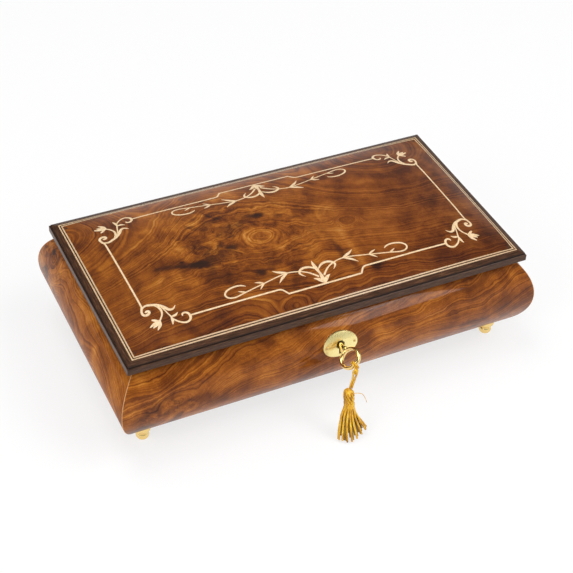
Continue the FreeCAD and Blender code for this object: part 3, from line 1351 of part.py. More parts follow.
def build():
    os.makedirs("parts", exist_ok=True)
    for name, wall in zip(("front_wall", "back_wall", "left_wall", "right_wall"), walls()):
        save(name, wall)
    save("bottom_panel", bottom_panel())
    for corner, place in foot_places().items():
        save("foot_" + corner, foot(place))
    save("compartment_divider", divider())
    save("cover_ledges", *cover_ledges())
    save("movement_cover", movement_cover())
    save("lining_floor", lining_floor())
    save("lining_walls", *lining_walls())

    panel, strings = lid_panel_and_stringing()
    save("lid_panel", panel)
    save("lid_stringing", *strings)
    save("lid_mouldings", *lid_mouldings())
    save("lid_lining", lid_lining())

    case_bottom = CASE_TOP - HINGE_LEAF
    ends, middle = [(0, 1), (2, 3)], [(1, 2)]
    save("hinge_case_leaves", *hinge_leaves(case_bottom, ends, middle, CASE_TOP, -Z))
    save("hinge_lid_leaves", *hinge_leaves(LID_BOTTOM, middle, ends, LID_BOTTOM, Z))
    save("hinge_pins", *hinge_pins())
    save("hinge_case_screws", *[wood_screw(place, -Z) for place in hinge_screw_places(CASE_TOP)])
    save("hinge_lid_screws", *[wood_screw(place, Z) for place in hinge_screw_places(LID_BOTTOM)])

    save("lock_body", lock_body())
    save("lock_bolt", lock_bolt())
    save("lock_screws", *[wood_screw(place, -Y) for place in lock_screw_places()])
    save("strike_plate", strike_plate())
    save("strike_screws", *[wood_screw(place, Z) for place in strike_screw_places()])
    save("escutcheon", escutcheon())
    save("escutcheon_pins", *[escutcheon_pin(place) for place in escutcheon_pin_places()])
    save("lock_key", key())
    save("tassel_knot", tassel_knot())
    save("tassel_cord", tassel_cord())
    save("tassel_head", tassel_head())
    save("tassel_skirt", tassel_skirt())

    save_movement("bedplate", bedplate())
    save_movement("bedplate_screws", *[machine_screw(place, Z) for place in bed_screw_places(FLOOR_BOTTOM)])
    save_movement("rear_bearing", rear_bearing())
    save_movement("governor_frame", governor_frame())
    save_movement("governor_cock", governor_cock())
    save_movement("movement_screws", *[machine_screw(place, -Z) for place in bed_top_screw_places()])
    save_movement("comb", comb())
    save_movement("comb_base", comb_base())
    save_movement("comb_screws", *[machine_screw(place, -Z) for place in comb_screw_places()])
    save_movement("cylinder", cylinder())
    save_movement("cylinder_arbor", cylinder_arbor())
    save_movement("cylinder_pinion", cylinder_pinion())
    save_movement("cylinder_wheel", cylinder_wheel())
    save_movement("spring_barrel", spring_barrel())
    save_movement("barrel_cap", barrel_cap())
    save_movement("mainspring", mainspring())
    save_movement("winding_arbor", winding_arbor())
    save_movement("winding_key", winding_key())
    save_movement("governor_first_arbor", first_governor_arbor())
    save_movement("governor_second_arbor", second_governor_arbor())
    save_movement("fly_arbor", fly_arbor())
    save_movement("fly_fan", fly_fan())
    save_movement("stop_rod", stop_rod())
    save_movement("stop_guide", stop_guide())


build()
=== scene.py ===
"""Looks of the cylinder music box: lacquered burl veneer with marquetry, brass fittings, a golden
tassel, a velvet-lined compartment and a brass and steel movement. Metres, in the part's own frame."""
import json
import math
import random

import bpy
from mathutils import Matrix, Vector

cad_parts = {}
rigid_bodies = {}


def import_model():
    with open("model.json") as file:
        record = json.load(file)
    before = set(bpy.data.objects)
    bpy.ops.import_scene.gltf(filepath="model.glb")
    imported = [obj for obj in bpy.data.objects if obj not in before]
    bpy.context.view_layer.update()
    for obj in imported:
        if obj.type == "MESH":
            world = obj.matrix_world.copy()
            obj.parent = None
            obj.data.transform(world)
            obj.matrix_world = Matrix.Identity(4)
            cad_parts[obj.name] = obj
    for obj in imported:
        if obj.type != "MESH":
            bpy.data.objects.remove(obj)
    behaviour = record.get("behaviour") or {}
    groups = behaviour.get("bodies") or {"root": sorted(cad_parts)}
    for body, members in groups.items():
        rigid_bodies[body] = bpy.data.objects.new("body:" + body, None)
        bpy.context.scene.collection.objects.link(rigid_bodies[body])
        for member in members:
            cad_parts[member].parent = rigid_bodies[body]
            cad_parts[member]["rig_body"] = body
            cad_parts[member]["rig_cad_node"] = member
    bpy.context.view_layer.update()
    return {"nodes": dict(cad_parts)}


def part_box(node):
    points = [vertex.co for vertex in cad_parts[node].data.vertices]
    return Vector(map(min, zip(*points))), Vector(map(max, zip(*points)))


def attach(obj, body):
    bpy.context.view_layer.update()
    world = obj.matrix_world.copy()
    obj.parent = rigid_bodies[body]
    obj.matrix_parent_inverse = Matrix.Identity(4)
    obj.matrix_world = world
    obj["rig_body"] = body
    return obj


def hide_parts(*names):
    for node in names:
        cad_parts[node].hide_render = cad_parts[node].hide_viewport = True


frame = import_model()
nodes = frame["nodes"]
MM = 0.001

# Studio: a pale floor that runs out of sight, a white room, four soft boxes and a camera that looks
# down on the front left-hand corner of the box.
CASE_Y = sum(corner.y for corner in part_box("left_wall")) / 2
CAMERA_PLACE = Vector((-331.26 * MM, CASE_Y - 630.92 * MM, 661.02 * MM))
CAMERA_RIGHT = Vector((0.90204289, -0.42914137, 0.04643602))
CAMERA_DOWN = Vector((-0.25269552, -0.61222876, -0.74921354))
CAMERA_AHEAD = Vector((0.34994799, 0.66408858, -0.66069870))
camera = bpy.data.objects.new("camera", bpy.data.cameras.new("camera"))
bpy.context.scene.collection.objects.link(camera)
camera.data.sensor_width = 36.0
camera.data.lens = 87.9
camera.data.clip_start = 0.01
turn = Matrix((CAMERA_RIGHT, -CAMERA_DOWN, -CAMERA_AHEAD)).transposed()
camera.matrix_world = Matrix.Translation(CAMERA_PLACE) @ turn.to_4x4()
bpy.context.scene.camera = camera
bpy.context.scene.view_settings.view_transform = "Standard"
LAMP_AIM = Vector((0, 0, 0.05))


def soft_box(name, place, size, watts):
    """A square of soft light that faces the middle of the box."""
    light = bpy.data.lights.new(name, "AREA")
    light.size = size
    light.energy = watts
    lamp = bpy.data.objects.new(name, light)
    bpy.context.scene.collection.objects.link(lamp)
    lamp.location = place
    lamp.rotation_euler = (LAMP_AIM - lamp.location).to_track_quat("-Z", "Y").to_euler()


soft_box("box_right", Vector((0.90, -0.60, 1.75)), 1.0, 15.0)
soft_box("box_left", Vector((-1.25, -0.55, 0.95)), 0.8, 7.0)
soft_box("box_front", Vector((1.02, -1.36, 1.22)), 0.7, 7.2)
soft_box("box_back", Vector((-0.35, 0.40, 1.95)), 1.0, 15.5)


class Wire:
    """One output in a finish's node tree. Sums on it add Math nodes."""

    def __init__(self, finish, socket):
        self.finish = finish
        self.socket = socket

    def math(self, operation, *others):
        """A Math node on this output and others."""
        return self.finish.node("ShaderNodeMath", [self, *others], operation=operation)

    def __add__(self, other):
        return self.math("ADD", other)

    def __sub__(self, other):
        return self.math("SUBTRACT", other)

    def __rsub__(self, other):
        return self.finish.node("ShaderNodeMath", [other, self], operation="SUBTRACT")

    def __mul__(self, other):
        return self.math("MULTIPLY", other)

    def __truediv__(self, other):
        return self.math("DIVIDE", other)

    def __rtruediv__(self, other):
        return self.finish.node("ShaderNodeMath", [other, self], operation="DIVIDE")

    def __pow__(self, other):
        return self.math("POWER", other)

    __radd__ = __add__
    __rmul__ = __mul__


class Finish:
    """A material, or a world, whose nodes are added one at a time."""

    def __init__(self, name, library=bpy.data.materials):
        self.material = library.new(name)
        self.material.use_nodes = True
        self.tree = self.material.node_tree
        self.tree.nodes.clear()

    def node(self, kind, inputs=(), output=0, stops=None, **settings):
        """Adds a node, sets it up, then fills its sockets by place or by name."""
        made = self.tree.nodes.new(kind)
        for name, value in settings.items():
            setattr(made, name, value)
        for k, (place, colour) in enumerate(stops or []):
            ramp = made.color_ramp.elements
            stop = ramp[k] if k < len(ramp) else ramp.new(place)
            stop.position = place
            stop.color = (*colour, 1.0)
        pairs = inputs.items() if isinstance(inputs, dict) else enumerate(inputs)
        for key, value in pairs:
            if isinstance(value, Wire):
                self.tree.links.new(value.socket, made.inputs[key])
            else:
                made.inputs[key].default_value = value
        return Wire(self, made.outputs[output]) if made.outputs else None

    def blend(self, factor, first, second, mode="MIX"):
        """A mix of two colours."""
        return self.node("ShaderNodeMix", {0: factor, 6: first, 7: second}, 2,
                         data_type="RGBA", blend_type=mode)

    def place(self, location=(0, 0, 0), rotation=(0, 0, 0), scale=(1, 1, 1)):
        """Object coordinates, moved, turned and scaled."""
        here = self.node("ShaderNodeTexCoord", output="Object")
        return self.node("ShaderNodeMapping", [here, location, rotation, scale])

    def axis(self, place, name):
        """One coordinate of a place."""
        return self.node("ShaderNodeSeparateXYZ", [place], name)

    def vector(self, operation, *places, output=0):
        """A sum on places."""
        return self.node("ShaderNodeVectorMath", places, output, operation=operation)

    def noise(self, place, scale, detail, roughness=0.5):
        """Smooth noise over a place; detail and roughness add finer noise to it."""
        return self.node("ShaderNodeTexNoise", {"Vector": place, "Scale": scale, "Detail": detail,
                                                "Roughness": roughness})

    def fade(self, value, start, end, most):
        """Goes from nought to the most as a value goes from start to end."""
        return self.node("ShaderNodeMapRange", {"Value": value, "From Min": start, "From Max": end,
                                                "To Max": most})

    def ramp(self, value, stops):
        """The colour of a value on a scale of stops."""
        return self.node("ShaderNodeValToRGB", [value], stops=stops)

    def bump(self, height, strength, depth):
        """Relief from a height, with its depth in millimetres."""
        return self.node("ShaderNodeBump", {"Strength": strength, "Distance": depth * MM, "Height": height})

    def surface(self, shader):
        """Ends the tree with a shader, and gives the material."""
        self.node("ShaderNodeOutputMaterial", {"Surface": shader})
        return self.material

    def principled(self, **sockets):
        """The usual shader, with its sockets named with underscores for spaces."""
        inputs = {name.replace("_", " "): value for name, value in sockets.items()}
        return self.surface(self.node("ShaderNodeBsdfPrincipled", inputs))


FLOOR_SIZE, FLOOR_ROWS, FLOOR_DROP = 12.0, 40, 0.2
FLOOR_GLOW = 0.72
HORIZON_GLOW, ZENITH_GLOW, GLOW_POWER = 0.7, 0.2, 3
bpy.ops.object.select_all(action="DESELECT")
bpy.ops.mesh.primitive_grid_add(x_subdivisions=FLOOR_ROWS, y_subdivisions=FLOOR_ROWS, size=FLOOR_SIZE,
                                location=(0, 0, -FLOOR_DROP * MM))
floor = bpy.context.active_object
floor.name = "floor"
pale = Finish("pale_floor")
seen = pale.node("ShaderNodeLightPath", output="Is Camera Ray")
for kind in ("Is Glossy Ray", "Is Transmission Ray"):
    seen = seen.math("MAXIMUM", pale.node("ShaderNodeLightPath", output=kind))
lit = pale.node("ShaderNodeBsdfDiffuse", {"Color": (0.93, 0.93, 0.935, 1)})
white = pale.node("ShaderNodeEmission", {"Color": (1, 1, 1, 1), "Strength": 1.0})
paint = pale.node("ShaderNodeMixShader", [seen * FLOOR_GLOW, lit, white])
floor.data.materials.append(pale.surface(paint))
room = Finish("white_room", bpy.data.worlds)
up = room.axis(room.node("ShaderNodeTexCoord", output="Generated"), "Z")
glow = (1 - up.math("ABSOLUTE")) ** GLOW_POWER * HORIZON_GLOW + ZENITH_GLOW
walls = room.node("ShaderNodeBackground", {"Color": (1, 1, 1, 1), "Strength": glow})
room.node("ShaderNodeOutputWorld", {"Surface": walls})
bpy.context.scene.world = room.material

# Case walls: four swelled walls, mitred at the corners and veneered with figured burl, then
# lacquered to a semi-gloss. The veneer's figure runs along each wall.
WELD_GAP, FLAT_WITHIN = 0.002, 0.4
# an edge that turns by more degrees than this stays an edge, on flat pieces and on round ones
FLAT_TURN, ROUND_TURN = 30.0, 24.0
IN_MM = (1000, 1000, 1000)


def pick_only(piece):
    """Makes a piece the one that operators act on."""
    bpy.ops.object.select_all(action="DESELECT")
    piece.select_set(True)
    bpy.context.view_layer.objects.active = piece


def dressed(node, angle=FLAT_TURN, edge=0.0, rows=2):
    """A smooth copy of a CAD node with softened edges, which stands for it."""
    pick_only(nodes[node])
    bpy.ops.object.duplicate()
    piece = bpy.context.active_object
    piece.name = node + "_finished"
    del piece["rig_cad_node"]
    piece.data.materials.clear()
    bpy.ops.mesh.customdata_custom_splitnormals_clear()
    bpy.ops.object.mode_set(mode="EDIT")
    bpy.ops.mesh.select_all(action="SELECT")
    bpy.ops.mesh.remove_doubles(threshold=WELD_GAP * MM)
    bpy.ops.mesh.dissolve_limited(angle_limit=math.radians(FLAT_WITHIN))
    bpy.ops.object.mode_set(mode="OBJECT")
    if edge:
        bevel = piece.modifiers.new("soft_edges", "BEVEL")
        bevel.width = edge * MM
        bevel.segments = rows
        bevel.limit_method = "ANGLE"
        bevel.angle_limit = math.radians(angle)
        bevel.use_clamp_overlap = True
        bpy.ops.object.modifier_apply(modifier=bevel.name)
    bpy.ops.object.shade_smooth_by_angle(angle=math.radians(angle))
    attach(piece, nodes[node]["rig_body"])
    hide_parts(node)
    return piece


def finished(piece, material):
    """Gives a new piece its finish."""
    piece.data.materials.clear()
    piece.data.materials.append(material)


VEIN_TONE = (0.46, 0.36, 0.30, 1)
STAIN_TONE = (0.026, 0.009, 0.004, 1)


def veneer(name, rotation, centre, drift, eyes, knots, tones, seed, swirl, gloss, shade):
    """Lacquered burl veneer, in millimetres on the leaf. Its lines are the contours of a warped slope,
    the drift, which turns into rings round each eye. An eye is (across, up, half length, half height,
    rings), a knot is the same with its darkness, the burl is wildest inside the oval swirl, gloss is the
    weight of the lacquer, and shade is a last change of colour over the leaf, which paints light and
    shade into it: a painted highlight along the mitres of the walls, painted shade along the front of the
    lid."""
    wood = Finish(name)
    flat = wood.place([-v / MM for v in centre], rotation, IN_MM)

    def waves(size, amount, start, base):
        """Moves a place by noise of that size and amount."""
        sway = wood.node("ShaderNodeTexNoise",
                         {"Vector": flat, "W": seed + start, "Scale": 1 / size, "Detail": 2.0},
                         "Color", noise_dimensions="4D")
        sway = wood.vector("SUBTRACT", sway, (0.5, 0.5, 0.5))
        sway = wood.node("ShaderNodeVectorMath", {0: sway, "Scale": amount}, operation="SCALE")
        return wood.vector("ADD", base, sway)

    def distance(place, across, up, wide, high):
        """How far a place is from a point, in half lengths and half heights."""
        gap = wood.vector("SUBTRACT", place, (across, up, 0))
        gap = wood.vector("MULTIPLY", gap, (1 / wide, 1 / high, 0))
        return wood.vector("LENGTH", gap, output="Value")

    def contours(scale, detail, start):
        """Light and dark lines along the levels of the rise."""
        return wood.node("ShaderNodeTexNoise", {"W": rise + start, "Scale": scale, "Detail": detail,
                                                "Roughness": 0.55}, noise_dimensions="1D")

    wild = 1 / (1 + distance(flat, *swirl) ** 4)
    near = waves(5.0, 1.6, 3.0, waves(14.0, 4.5, 5.0, flat))
    curled = waves(6.0, wild * 9.0, 13.0, waves(13.0, wild * 24.0, 17.0, near))
    bent = waves(60.0, 34.0, 0.0, waves(22.0, wild * 10.0 + 3.0, 9.0, curled))
    rise = wood.vector("DOT_PRODUCT", bent, (*drift, 0), output="Value")
    for across, up, wide, high, rings in eyes:
        gap = distance(near, across, up, wide, high)
        level = across * drift[0] + up * drift[1]
        rise = rise + (gap * rings + level - rise) / (1 + gap ** 6)
    lines = contours(0.40, 4.0, 0.0)
    thin = contours(1.1, 2.0, 71.3)
    cloud = wood.noise(bent, 0.05, 4.0, 0.6)
    fleck = wood.noise(near, 1.3, 4.0, 0.7)
    stain = wood.fade(wood.noise(curled, 0.12, 3.0, 0.6), 0.50, 0.70, 0.55) * wild
    for across, up, wide, high, darkness in knots:
        stain = stain + darkness / (1 + distance(near, across, up, wide, high) ** 4)
    mottle = (wood.noise(curled, 0.10, 4.0, 0.6) - 0.5) * wild
    figure = (lines - 0.5) * (wild * 0.2 + 0.52) + cloud + thin * 0.34 + fleck * 0.34 - stain * 0.2 - 0.34
    figure = figure + mottle * 0.9
    colour = wood.blend(wood.fade(thin, 0.44, 0.30, 0.5), wood.ramp(figure, tones), VEIN_TONE, "MULTIPLY")
    gloom = stain.math("MAXIMUM", 0.0).math("MINIMUM", 0.92)
    colour = shade(wood, wood.blend(gloom, colour, STAIN_TONE))
    return wood.principled(Base_Color=colour, Roughness=0.40 + fleck * 0.12, Coat_Weight=gloss,
                           Normal=wood.bump(figure, 0.05, 0.2), Coat_Roughness=0.06,
                           Specular_IOR_Level=gloss * 0.16)


WALL_TONES = [(0.10, (0.048, 0.010, 0.001)), (0.36, (0.165, 0.040, 0.003)), (0.54, (0.315, 0.088, 0.007)),
              (0.72, (0.490, 0.165, 0.018)), (0.92, (0.660, 0.285, 0.050))]
ALONG_X = (-math.pi / 2, 0, 0)
ALONG_Y = (-math.pi / 2, math.pi / 2, 0)


def node_middle(node):
    """The middle of a CAD node's box."""
    low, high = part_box(node)
    return (low + high) / 2


# way the leaf lies, drift, eyes, knots, seed, swirl, lightness and gloss of each wall; the lightness is
# painted light, which shifts the tones lighter on the left wall that faces a lamp
WALL_FIGURES = {
    "front_wall": (ALONG_X, (-0.20, 0.85), [(-110, 3, 18, 10, 9), (66, -30, 52, 34, 20)],
                   [(-134, -16, 7, 4.5, 0.6), (70, -24, 4, 2, 0.5)], 2.0, (-114, -4, 20, 13), -0.02, 0.36),
    "back_wall": (ALONG_X, (0.10, 0.85), [(40, 4, 26, 16, 14), (100, 20, 44, 30, 18)],
                  [(-90, -8, 6, 3, 0.6)], 7.0, (-80, 0, 40, 20), 0.0, 0.36),
    "left_wall": (ALONG_Y, (0.12, 0.85), [(-58, 18, 17, 15, 14), (34, -8, 44, 30, 20)],
                  [(-62, 20, 2.4, 1.6, 0.95)], 11.0, (-66, 12, 24, 20), 0.05, 0.26),
    "right_wall": (ALONG_Y, (-0.10, 0.85), [(30, 6, 18, 14, 14), (-44, -10, 36, 26, 16)],
                   [(31, 7, 3, 2, 0.5)], 17.0, (40, 0, 30, 20), 0.0, 0.36),
}
MITRE_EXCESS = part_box("front_wall")[1].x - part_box("left_wall")[1].y + CASE_Y
# colour of the painted highlight along the mitres
MITRE_HIGHLIGHT_TONE = (0.74, 0.44, 0.21, 1)
WALL_EDGE = 0.25


def mitre_highlight_line(wood, colour):
    """A painted highlight: a pale line along the edge of each mitre, where the rounded edge catches the
    light.
    """
    middle = wood.place((0, -CASE_Y, 0))
    reach = [wood.axis(middle, k).math("ABSOLUTE") for k in "XY"]
    off = (reach[0] - reach[1] - MITRE_EXCESS).math("ABSOLUTE") / MM
    return wood.blend(wood.fade(off, 0.5, 0.15, 0.75), colour, MITRE_HIGHLIGHT_TONE)


for wall, leaf_facts in WALL_FIGURES.items():
    rotation, drift, eyes, knots, seed, swirl, painted_lightness, gloss = leaf_facts
    turn = Matrix.Rotation(rotation[1], 3, "Y") @ Matrix.Rotation(rotation[0], 3, "X")
    # tones shifted by the wall's lightness: painted light, lighter where the wall faces a lamp
    tones = [(place - painted_lightness, tone) for place, tone in WALL_TONES]
    # each wall's veneer gets a painted highlight along its mitres
    leaf = veneer(wall + "_veneer", rotation, turn @ node_middle(wall), drift, eyes, knots, tones, seed,
                  swirl, gloss, mitre_highlight_line)
    finished(dressed(wall, ROUND_TURN, WALL_EDGE), leaf)

# Feet: turned in brass with a bun, a cove and a flange, polished and lacquered, on studs in the
# corners of the case.
FOOT_NODES = ("foot_front_left", "foot_front_right", "foot_back_left", "foot_back_right")


def brass(name, colour=(0.98, 0.76, 0.33, 1), roughness=0.17, scratch=0.03):
    """Polished brass with faint wiping marks."""
    metal = Finish(name)
    here = metal.place(scale=IN_MM)
    haze = metal.noise(here, 0.35, 4.0, 0.6)
    marks = metal.noise(here, 3.0, 3.0)
    warm = (colour[0] * 0.86, colour[1] * 0.74, colour[2] * 0.6, 1)
    return metal.principled(Base_Color=metal.blend(haze, warm, colour), Metallic=1.0,
                            Roughness=roughness + (haze - 0.5) * 0.12,
                            Normal=metal.bump(marks, scratch, 0.1))


polished_brass = brass("polished_brass")
LATHE_TURN = 40.0
# radius and height up the foot, from the flat face to the flange under the case
FOOT_PROFILE = [(3.5, 0.0), (3.9, 0.4), (4.2, 1.2), (4.35, 2.2), (4.2, 3.2), (3.8, 4.0), (3.5, 4.4),
                (3.4, 4.7), (3.55, 5.1), (4.0, 5.8), (4.6, 6.5), (5.2, 7.2), (5.55, 7.8), (5.6, 8.4),
                (5.6, 9.2), (5.4, 9.6), (5.4, 11.6)]


def turned_piece(name, profile, middle, segments=48):
    """A ring drawn up a lathe profile of (radius, height) in millimetres over a middle point."""
    bpy.ops.object.select_all(action="DESELECT")
    radius, height = profile[0]
    start = Vector(middle) + Vector((0, 0, height * MM))
    bpy.ops.mesh.primitive_circle_add(vertices=segments, radius=radius * MM, fill_type="NGON",
                                      location=start)
    piece = bpy.context.active_object
    piece.name = name
    bpy.ops.object.transform_apply(location=True, rotation=True, scale=True)
    bpy.ops.object.mode_set(mode="EDIT")
    bpy.ops.mesh.select_all(action="SELECT")
    for (r0, z0), (r1, z1) in zip(profile, profile[1:]):
        bpy.ops.mesh.extrude_region_move(TRANSFORM_OT_translate={"value": (0, 0, (z1 - z0) * MM)})
        bpy.ops.transform.resize(value=(r1 / r0, r1 / r0, 1), center_override=middle)
    bpy.ops.mesh.select_all(action="SELECT")
    bpy.ops.mesh.normals_make_consistent(inside=False)
    bpy.ops.object.mode_set(mode="OBJECT")
    bpy.ops.object.shade_smooth_by_angle(angle=math.radians(LATHE_TURN))
    return piece


for name in FOOT_NODES:
    middle = node_middle(name)
    foot = turned_piece(name + "_turned", FOOT_PROFILE, (middle.x, middle.y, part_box(name)[0].z))
    finished(foot, polished_brass)
    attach(foot, "case")
    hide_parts(name)

# Bottom panel: a sheet of birch plywood, let into grooves in the walls and left plain, drilled for the
# winder and for the bed's screws.


def coated(node, material):
    """Gives a CAD node's own mesh its finish."""
    nodes[node].data.materials.clear()
    nodes[node].data.materials.append(material)


def sawn_wood(name, pale_tone, dark_tone, stretch, roughness):
    """Plain wood whose grain runs along the least stretched axis."""
    wood = Finish(name)
    here = wood.place(scale=stretch)
    grain = wood.noise(here, 1.0, 5.0, 0.6)
    broad = wood.noise(here, 0.12, 2.0)
    tone = wood.blend(grain * 0.6 + broad * 0.4, (*dark_tone, 1), (*pale_tone, 1))
    return wood.principled(Base_Color=tone, Roughness=roughness + grain * 0.15,
                           Normal=wood.bump(grain, 0.2, 0.1))


BIRCH_PALE, BIRCH_DARK = (0.62, 0.44, 0.25), (0.40, 0.25, 0.12)
coated("bottom_panel", sawn_wood("birch_plywood", BIRCH_PALE, BIRCH_DARK, (60, 700, 700), 0.55))

# Bedplate and bearings: a cast bed in gilt paint, screwed down through the bottom panel, with a rear
# bearing, a governor frame and a cock of stamped brass, held by slotted steel screws.


def cast_metal(name, tone):
    """A painted casting with a fine sand texture."""
    metal = Finish(name)
    sand = metal.noise(metal.place(scale=IN_MM), 2.2, 3.0)
    shade = metal.blend(sand, (tone[0] * 0.7, tone[1] * 0.65, tone[2] * 0.55, 1), (*tone, 1))
    return metal.principled(Base_Color=shade, Metallic=0.75, Roughness=0.38 + sand * 0.12,
                            Normal=metal.bump(sand, 0.25, 0.1))


def ground_steel(name, stretch, tone=0.56):
    """Steel with the fine lines of its grinding or turning."""
    metal = Finish(name)
    lines = metal.noise(metal.place(scale=stretch), 1.0, 3.0)
    shade = metal.blend(lines, (tone * 0.7, tone * 0.71, tone * 0.74, 1), (tone, tone, tone * 1.02, 1))
    return metal.principled(Base_Color=shade, Metallic=1.0, Roughness=0.22 + lines * 0.14,
                            Normal=metal.bump(lines, 0.08, 0.1))


steel = ground_steel("ground_steel", (300, 2500, 2500))
movement_brass = brass("movement_brass", (0.78, 0.58, 0.25, 1), 0.24, 0.08)
SLOT_WIDTH, SLOT_DEPTH, SLOT_REACH = 0.55, 0.45, 1.2
GILT = (0.66, 0.50, 0.23)
UPWARD, DOWNWARD, BACKWARD = (0, 0, 1), (0, 0, -1), (0, 1, 0)
CAST_EDGE, PLATE_EDGE, BRACKET_EDGE = 0.3, 0.12, 0.15


def slotted(node, outward, material):
    """Copies of a node's screws, each with a slot cut across its head."""
    screws = dressed(node)
    pick_only(screws)
    bpy.ops.object.mode_set(mode="EDIT")
    bpy.ops.mesh.select_all(action="SELECT")
    bpy.ops.mesh.separate(type="LOOSE")
    bpy.ops.object.mode_set(mode="OBJECT")
    outward = Vector(outward)
    for screw in list(bpy.context.selected_objects):
        corners = [v.co for v in screw.data.vertices]
        low = Vector([min(c[k] for c in corners) for k in range(3)])
        high = Vector([max(c[k] for c in corners) for k in range(3)])
        span = high - low
        head = (low + high) / 2 + outward * abs(span.dot(outward)) / 2
        bpy.ops.object.select_all(action="DESELECT")
        bpy.ops.mesh.primitive_cube_add(size=1.0, location=head)
        cutter = bpy.context.active_object
        across = max(span[k] for k in range(3) if not outward[k]) * SLOT_REACH
        width, depth = SLOT_WIDTH * MM, 2 * SLOT_DEPTH * MM
        cutter.scale = (width, depth, across) if outward.y else (across, width, depth)
        pick_only(screw)
        cut = screw.modifiers.new("slot", "BOOLEAN")
        cut.object = cutter
        cut.operation = "DIFFERENCE"
        cut.solver = "EXACT"
        bpy.ops.object.modifier_apply(modifier=cut.name)
        bpy.data.objects.remove(cutter)
    bpy.ops.object.select_all(action="DESELECT")
    for part in bpy.data.objects:
        if part.name.startswith(screws.name):
            part.select_set(True)
    bpy.context.view_layer.objects.active = screws
    bpy.ops.object.join()
    bpy.ops.object.shade_smooth_by_angle(angle=math.radians(FLAT_TURN))
    finished(screws, material)


finished(dressed("bedplate", edge=CAST_EDGE), cast_metal("gilt_bed", GILT))
for name in ("rear_bearing", "governor_frame", "governor_cock"):
    finished(dressed(name, edge=PLATE_EDGE), movement_brass)
slotted("bedplate_screws", DOWNWARD, steel)
slotted("movement_screws", UPWARD, steel)

# Spring barrel and winder: a turned brass barrel with a toothed rim and a cap round a blued spring,
# wound from below by a folded steel key on a squared arbor.
WINDER_EDGE = 0.3
for name in ("spring_barrel", "barrel_cap"):
    finished(dressed(name, ROUND_TURN), movement_brass)
coated("mainspring", ground_steel("spring_steel", (2500, 2500, 300), 0.30))
finished(dressed("winding_arbor"), steel)
finished(dressed("winding_key", edge=WINDER_EDGE), steel)

# Cylinder: a brass tube set with rows of fine steel pins, on a steel arbor between its pinion and
# its great wheel.
cylinder_brass = brass("cylinder_brass", (0.80, 0.58, 0.24, 1), 0.2, 0.05)
finished(dressed("cylinder", ROUND_TURN), cylinder_brass)
finished(dressed("cylinder_arbor", ROUND_TURN), steel)
for name in ("cylinder_pinion", "cylinder_wheel"):
    finished(dressed(name, ROUND_TURN), movement_brass)

# Comb: one plate of hardened steel, sawn into teeth, tuned by filing and ground bright, held on a cast
# base by three slotted screws.
coated("comb", ground_steel("comb_steel", (2500, 200, 2500), 0.62))
finished(dressed("comb_base", edge=CAST_EDGE), cast_metal("gilt_base", GILT))
slotted("comb_screws", UPWARD, steel)

# Governor: two brass arbors, each with its wheel and pinion, a steel worm cut on the fly's arbor, and a
# fan stamped from thin brass and pressed on its end.
for name in ("governor_first_arbor", "governor_second_arbor"):
    finished(dressed(name, ROUND_TURN), movement_brass)
finished(dressed("fly_arbor", ROUND_TURN), steel)
coated("fly_fan", movement_brass)

# Stop: a steel rod with a finger towards the fan, which the shut lid holds down. It slides in the two
# eyes of a brass guide on the end wall.
finished(dressed("stop_rod", ROUND_TURN), steel)
finished(dressed("stop_guide", edge=BRACKET_EDGE), movement_brass)

# Divider, ledges and cover: stained hardwood strips glued in beside the movement, and a clear acrylic
# sheet with polished edges that lies on the ledges.
STRIP_EDGE, COVER_EDGE = 0.3, 0.4
STAIN_PALE, STAIN_DARK = (0.15, 0.070, 0.032), (0.060, 0.026, 0.012)
stained = sawn_wood("stained_wood", STAIN_PALE, STAIN_DARK, (700, 60, 700), 0.42)
for name in ("compartment_divider", "cover_ledges"):
    finished(dressed(name, edge=STRIP_EDGE), stained)
acrylic = Finish("clear_acrylic")
smudge = acrylic.noise(acrylic.place(scale=(60, 60, 60)), 1.0, 3.0)
tint = acrylic.blend(smudge, (0.94, 0.97, 0.96, 1), (1.0, 1.0, 1.0, 1))
clear = acrylic.principled(Base_Color=tint, Roughness=smudge * 0.06, Transmission_Weight=1.0, IOR=1.12)
finished(dressed("movement_cover", edge=COVER_EDGE), clear)

# Linings: short-pile red velvet glued over card, with rounded edges, pressed into the compartment and
# under the lid.
LINING_EDGE, LINING_ROWS = 0.6, 3


def velvet_cloth(name):
    """Deep red pile that turns lighter where it is brushed."""
    cloth = Finish(name)
    here = cloth.place(scale=IN_MM)
    pile = cloth.noise(here, 3.0, 2.0)
    brushed = cloth.noise(here, 0.05, 3.0)
    tone = cloth.blend(pile * 0.5 + brushed * 0.5, (0.10, 0.006, 0.012, 1), (0.30, 0.022, 0.040, 1))
    return cloth.principled(Base_Color=tone, Roughness=0.85, Normal=cloth.bump(pile, 0.5, 0.3),
                            Sheen_Weight=0.6, Sheen_Roughness=0.4, Sheen_Tint=(0.9, 0.35, 0.4, 1),
                            Specular_IOR_Level=0.1)


velvet = velvet_cloth("red_velvet")
for name in ("lining_floor", "lining_walls", "lid_lining"):
    finished(dressed(name, edge=LINING_EDGE, rows=LINING_ROWS), velvet)

# Lock: a brass box lock let into the front wall behind the keyhole, its bolt, and a strike plate in
# the lid, all rolled brass held by countersunk brass screws.
lock_brass = brass("lock_brass", (0.68, 0.48, 0.20, 1), 0.28, 0.1)
for name in ("lock_body", "lock_bolt", "strike_plate"):
    finished(dressed(name, edge=BRACKET_EDGE), lock_brass)
slotted("lock_screws", BACKWARD, lock_brass)
slotted("strike_screws", DOWNWARD, lock_brass)

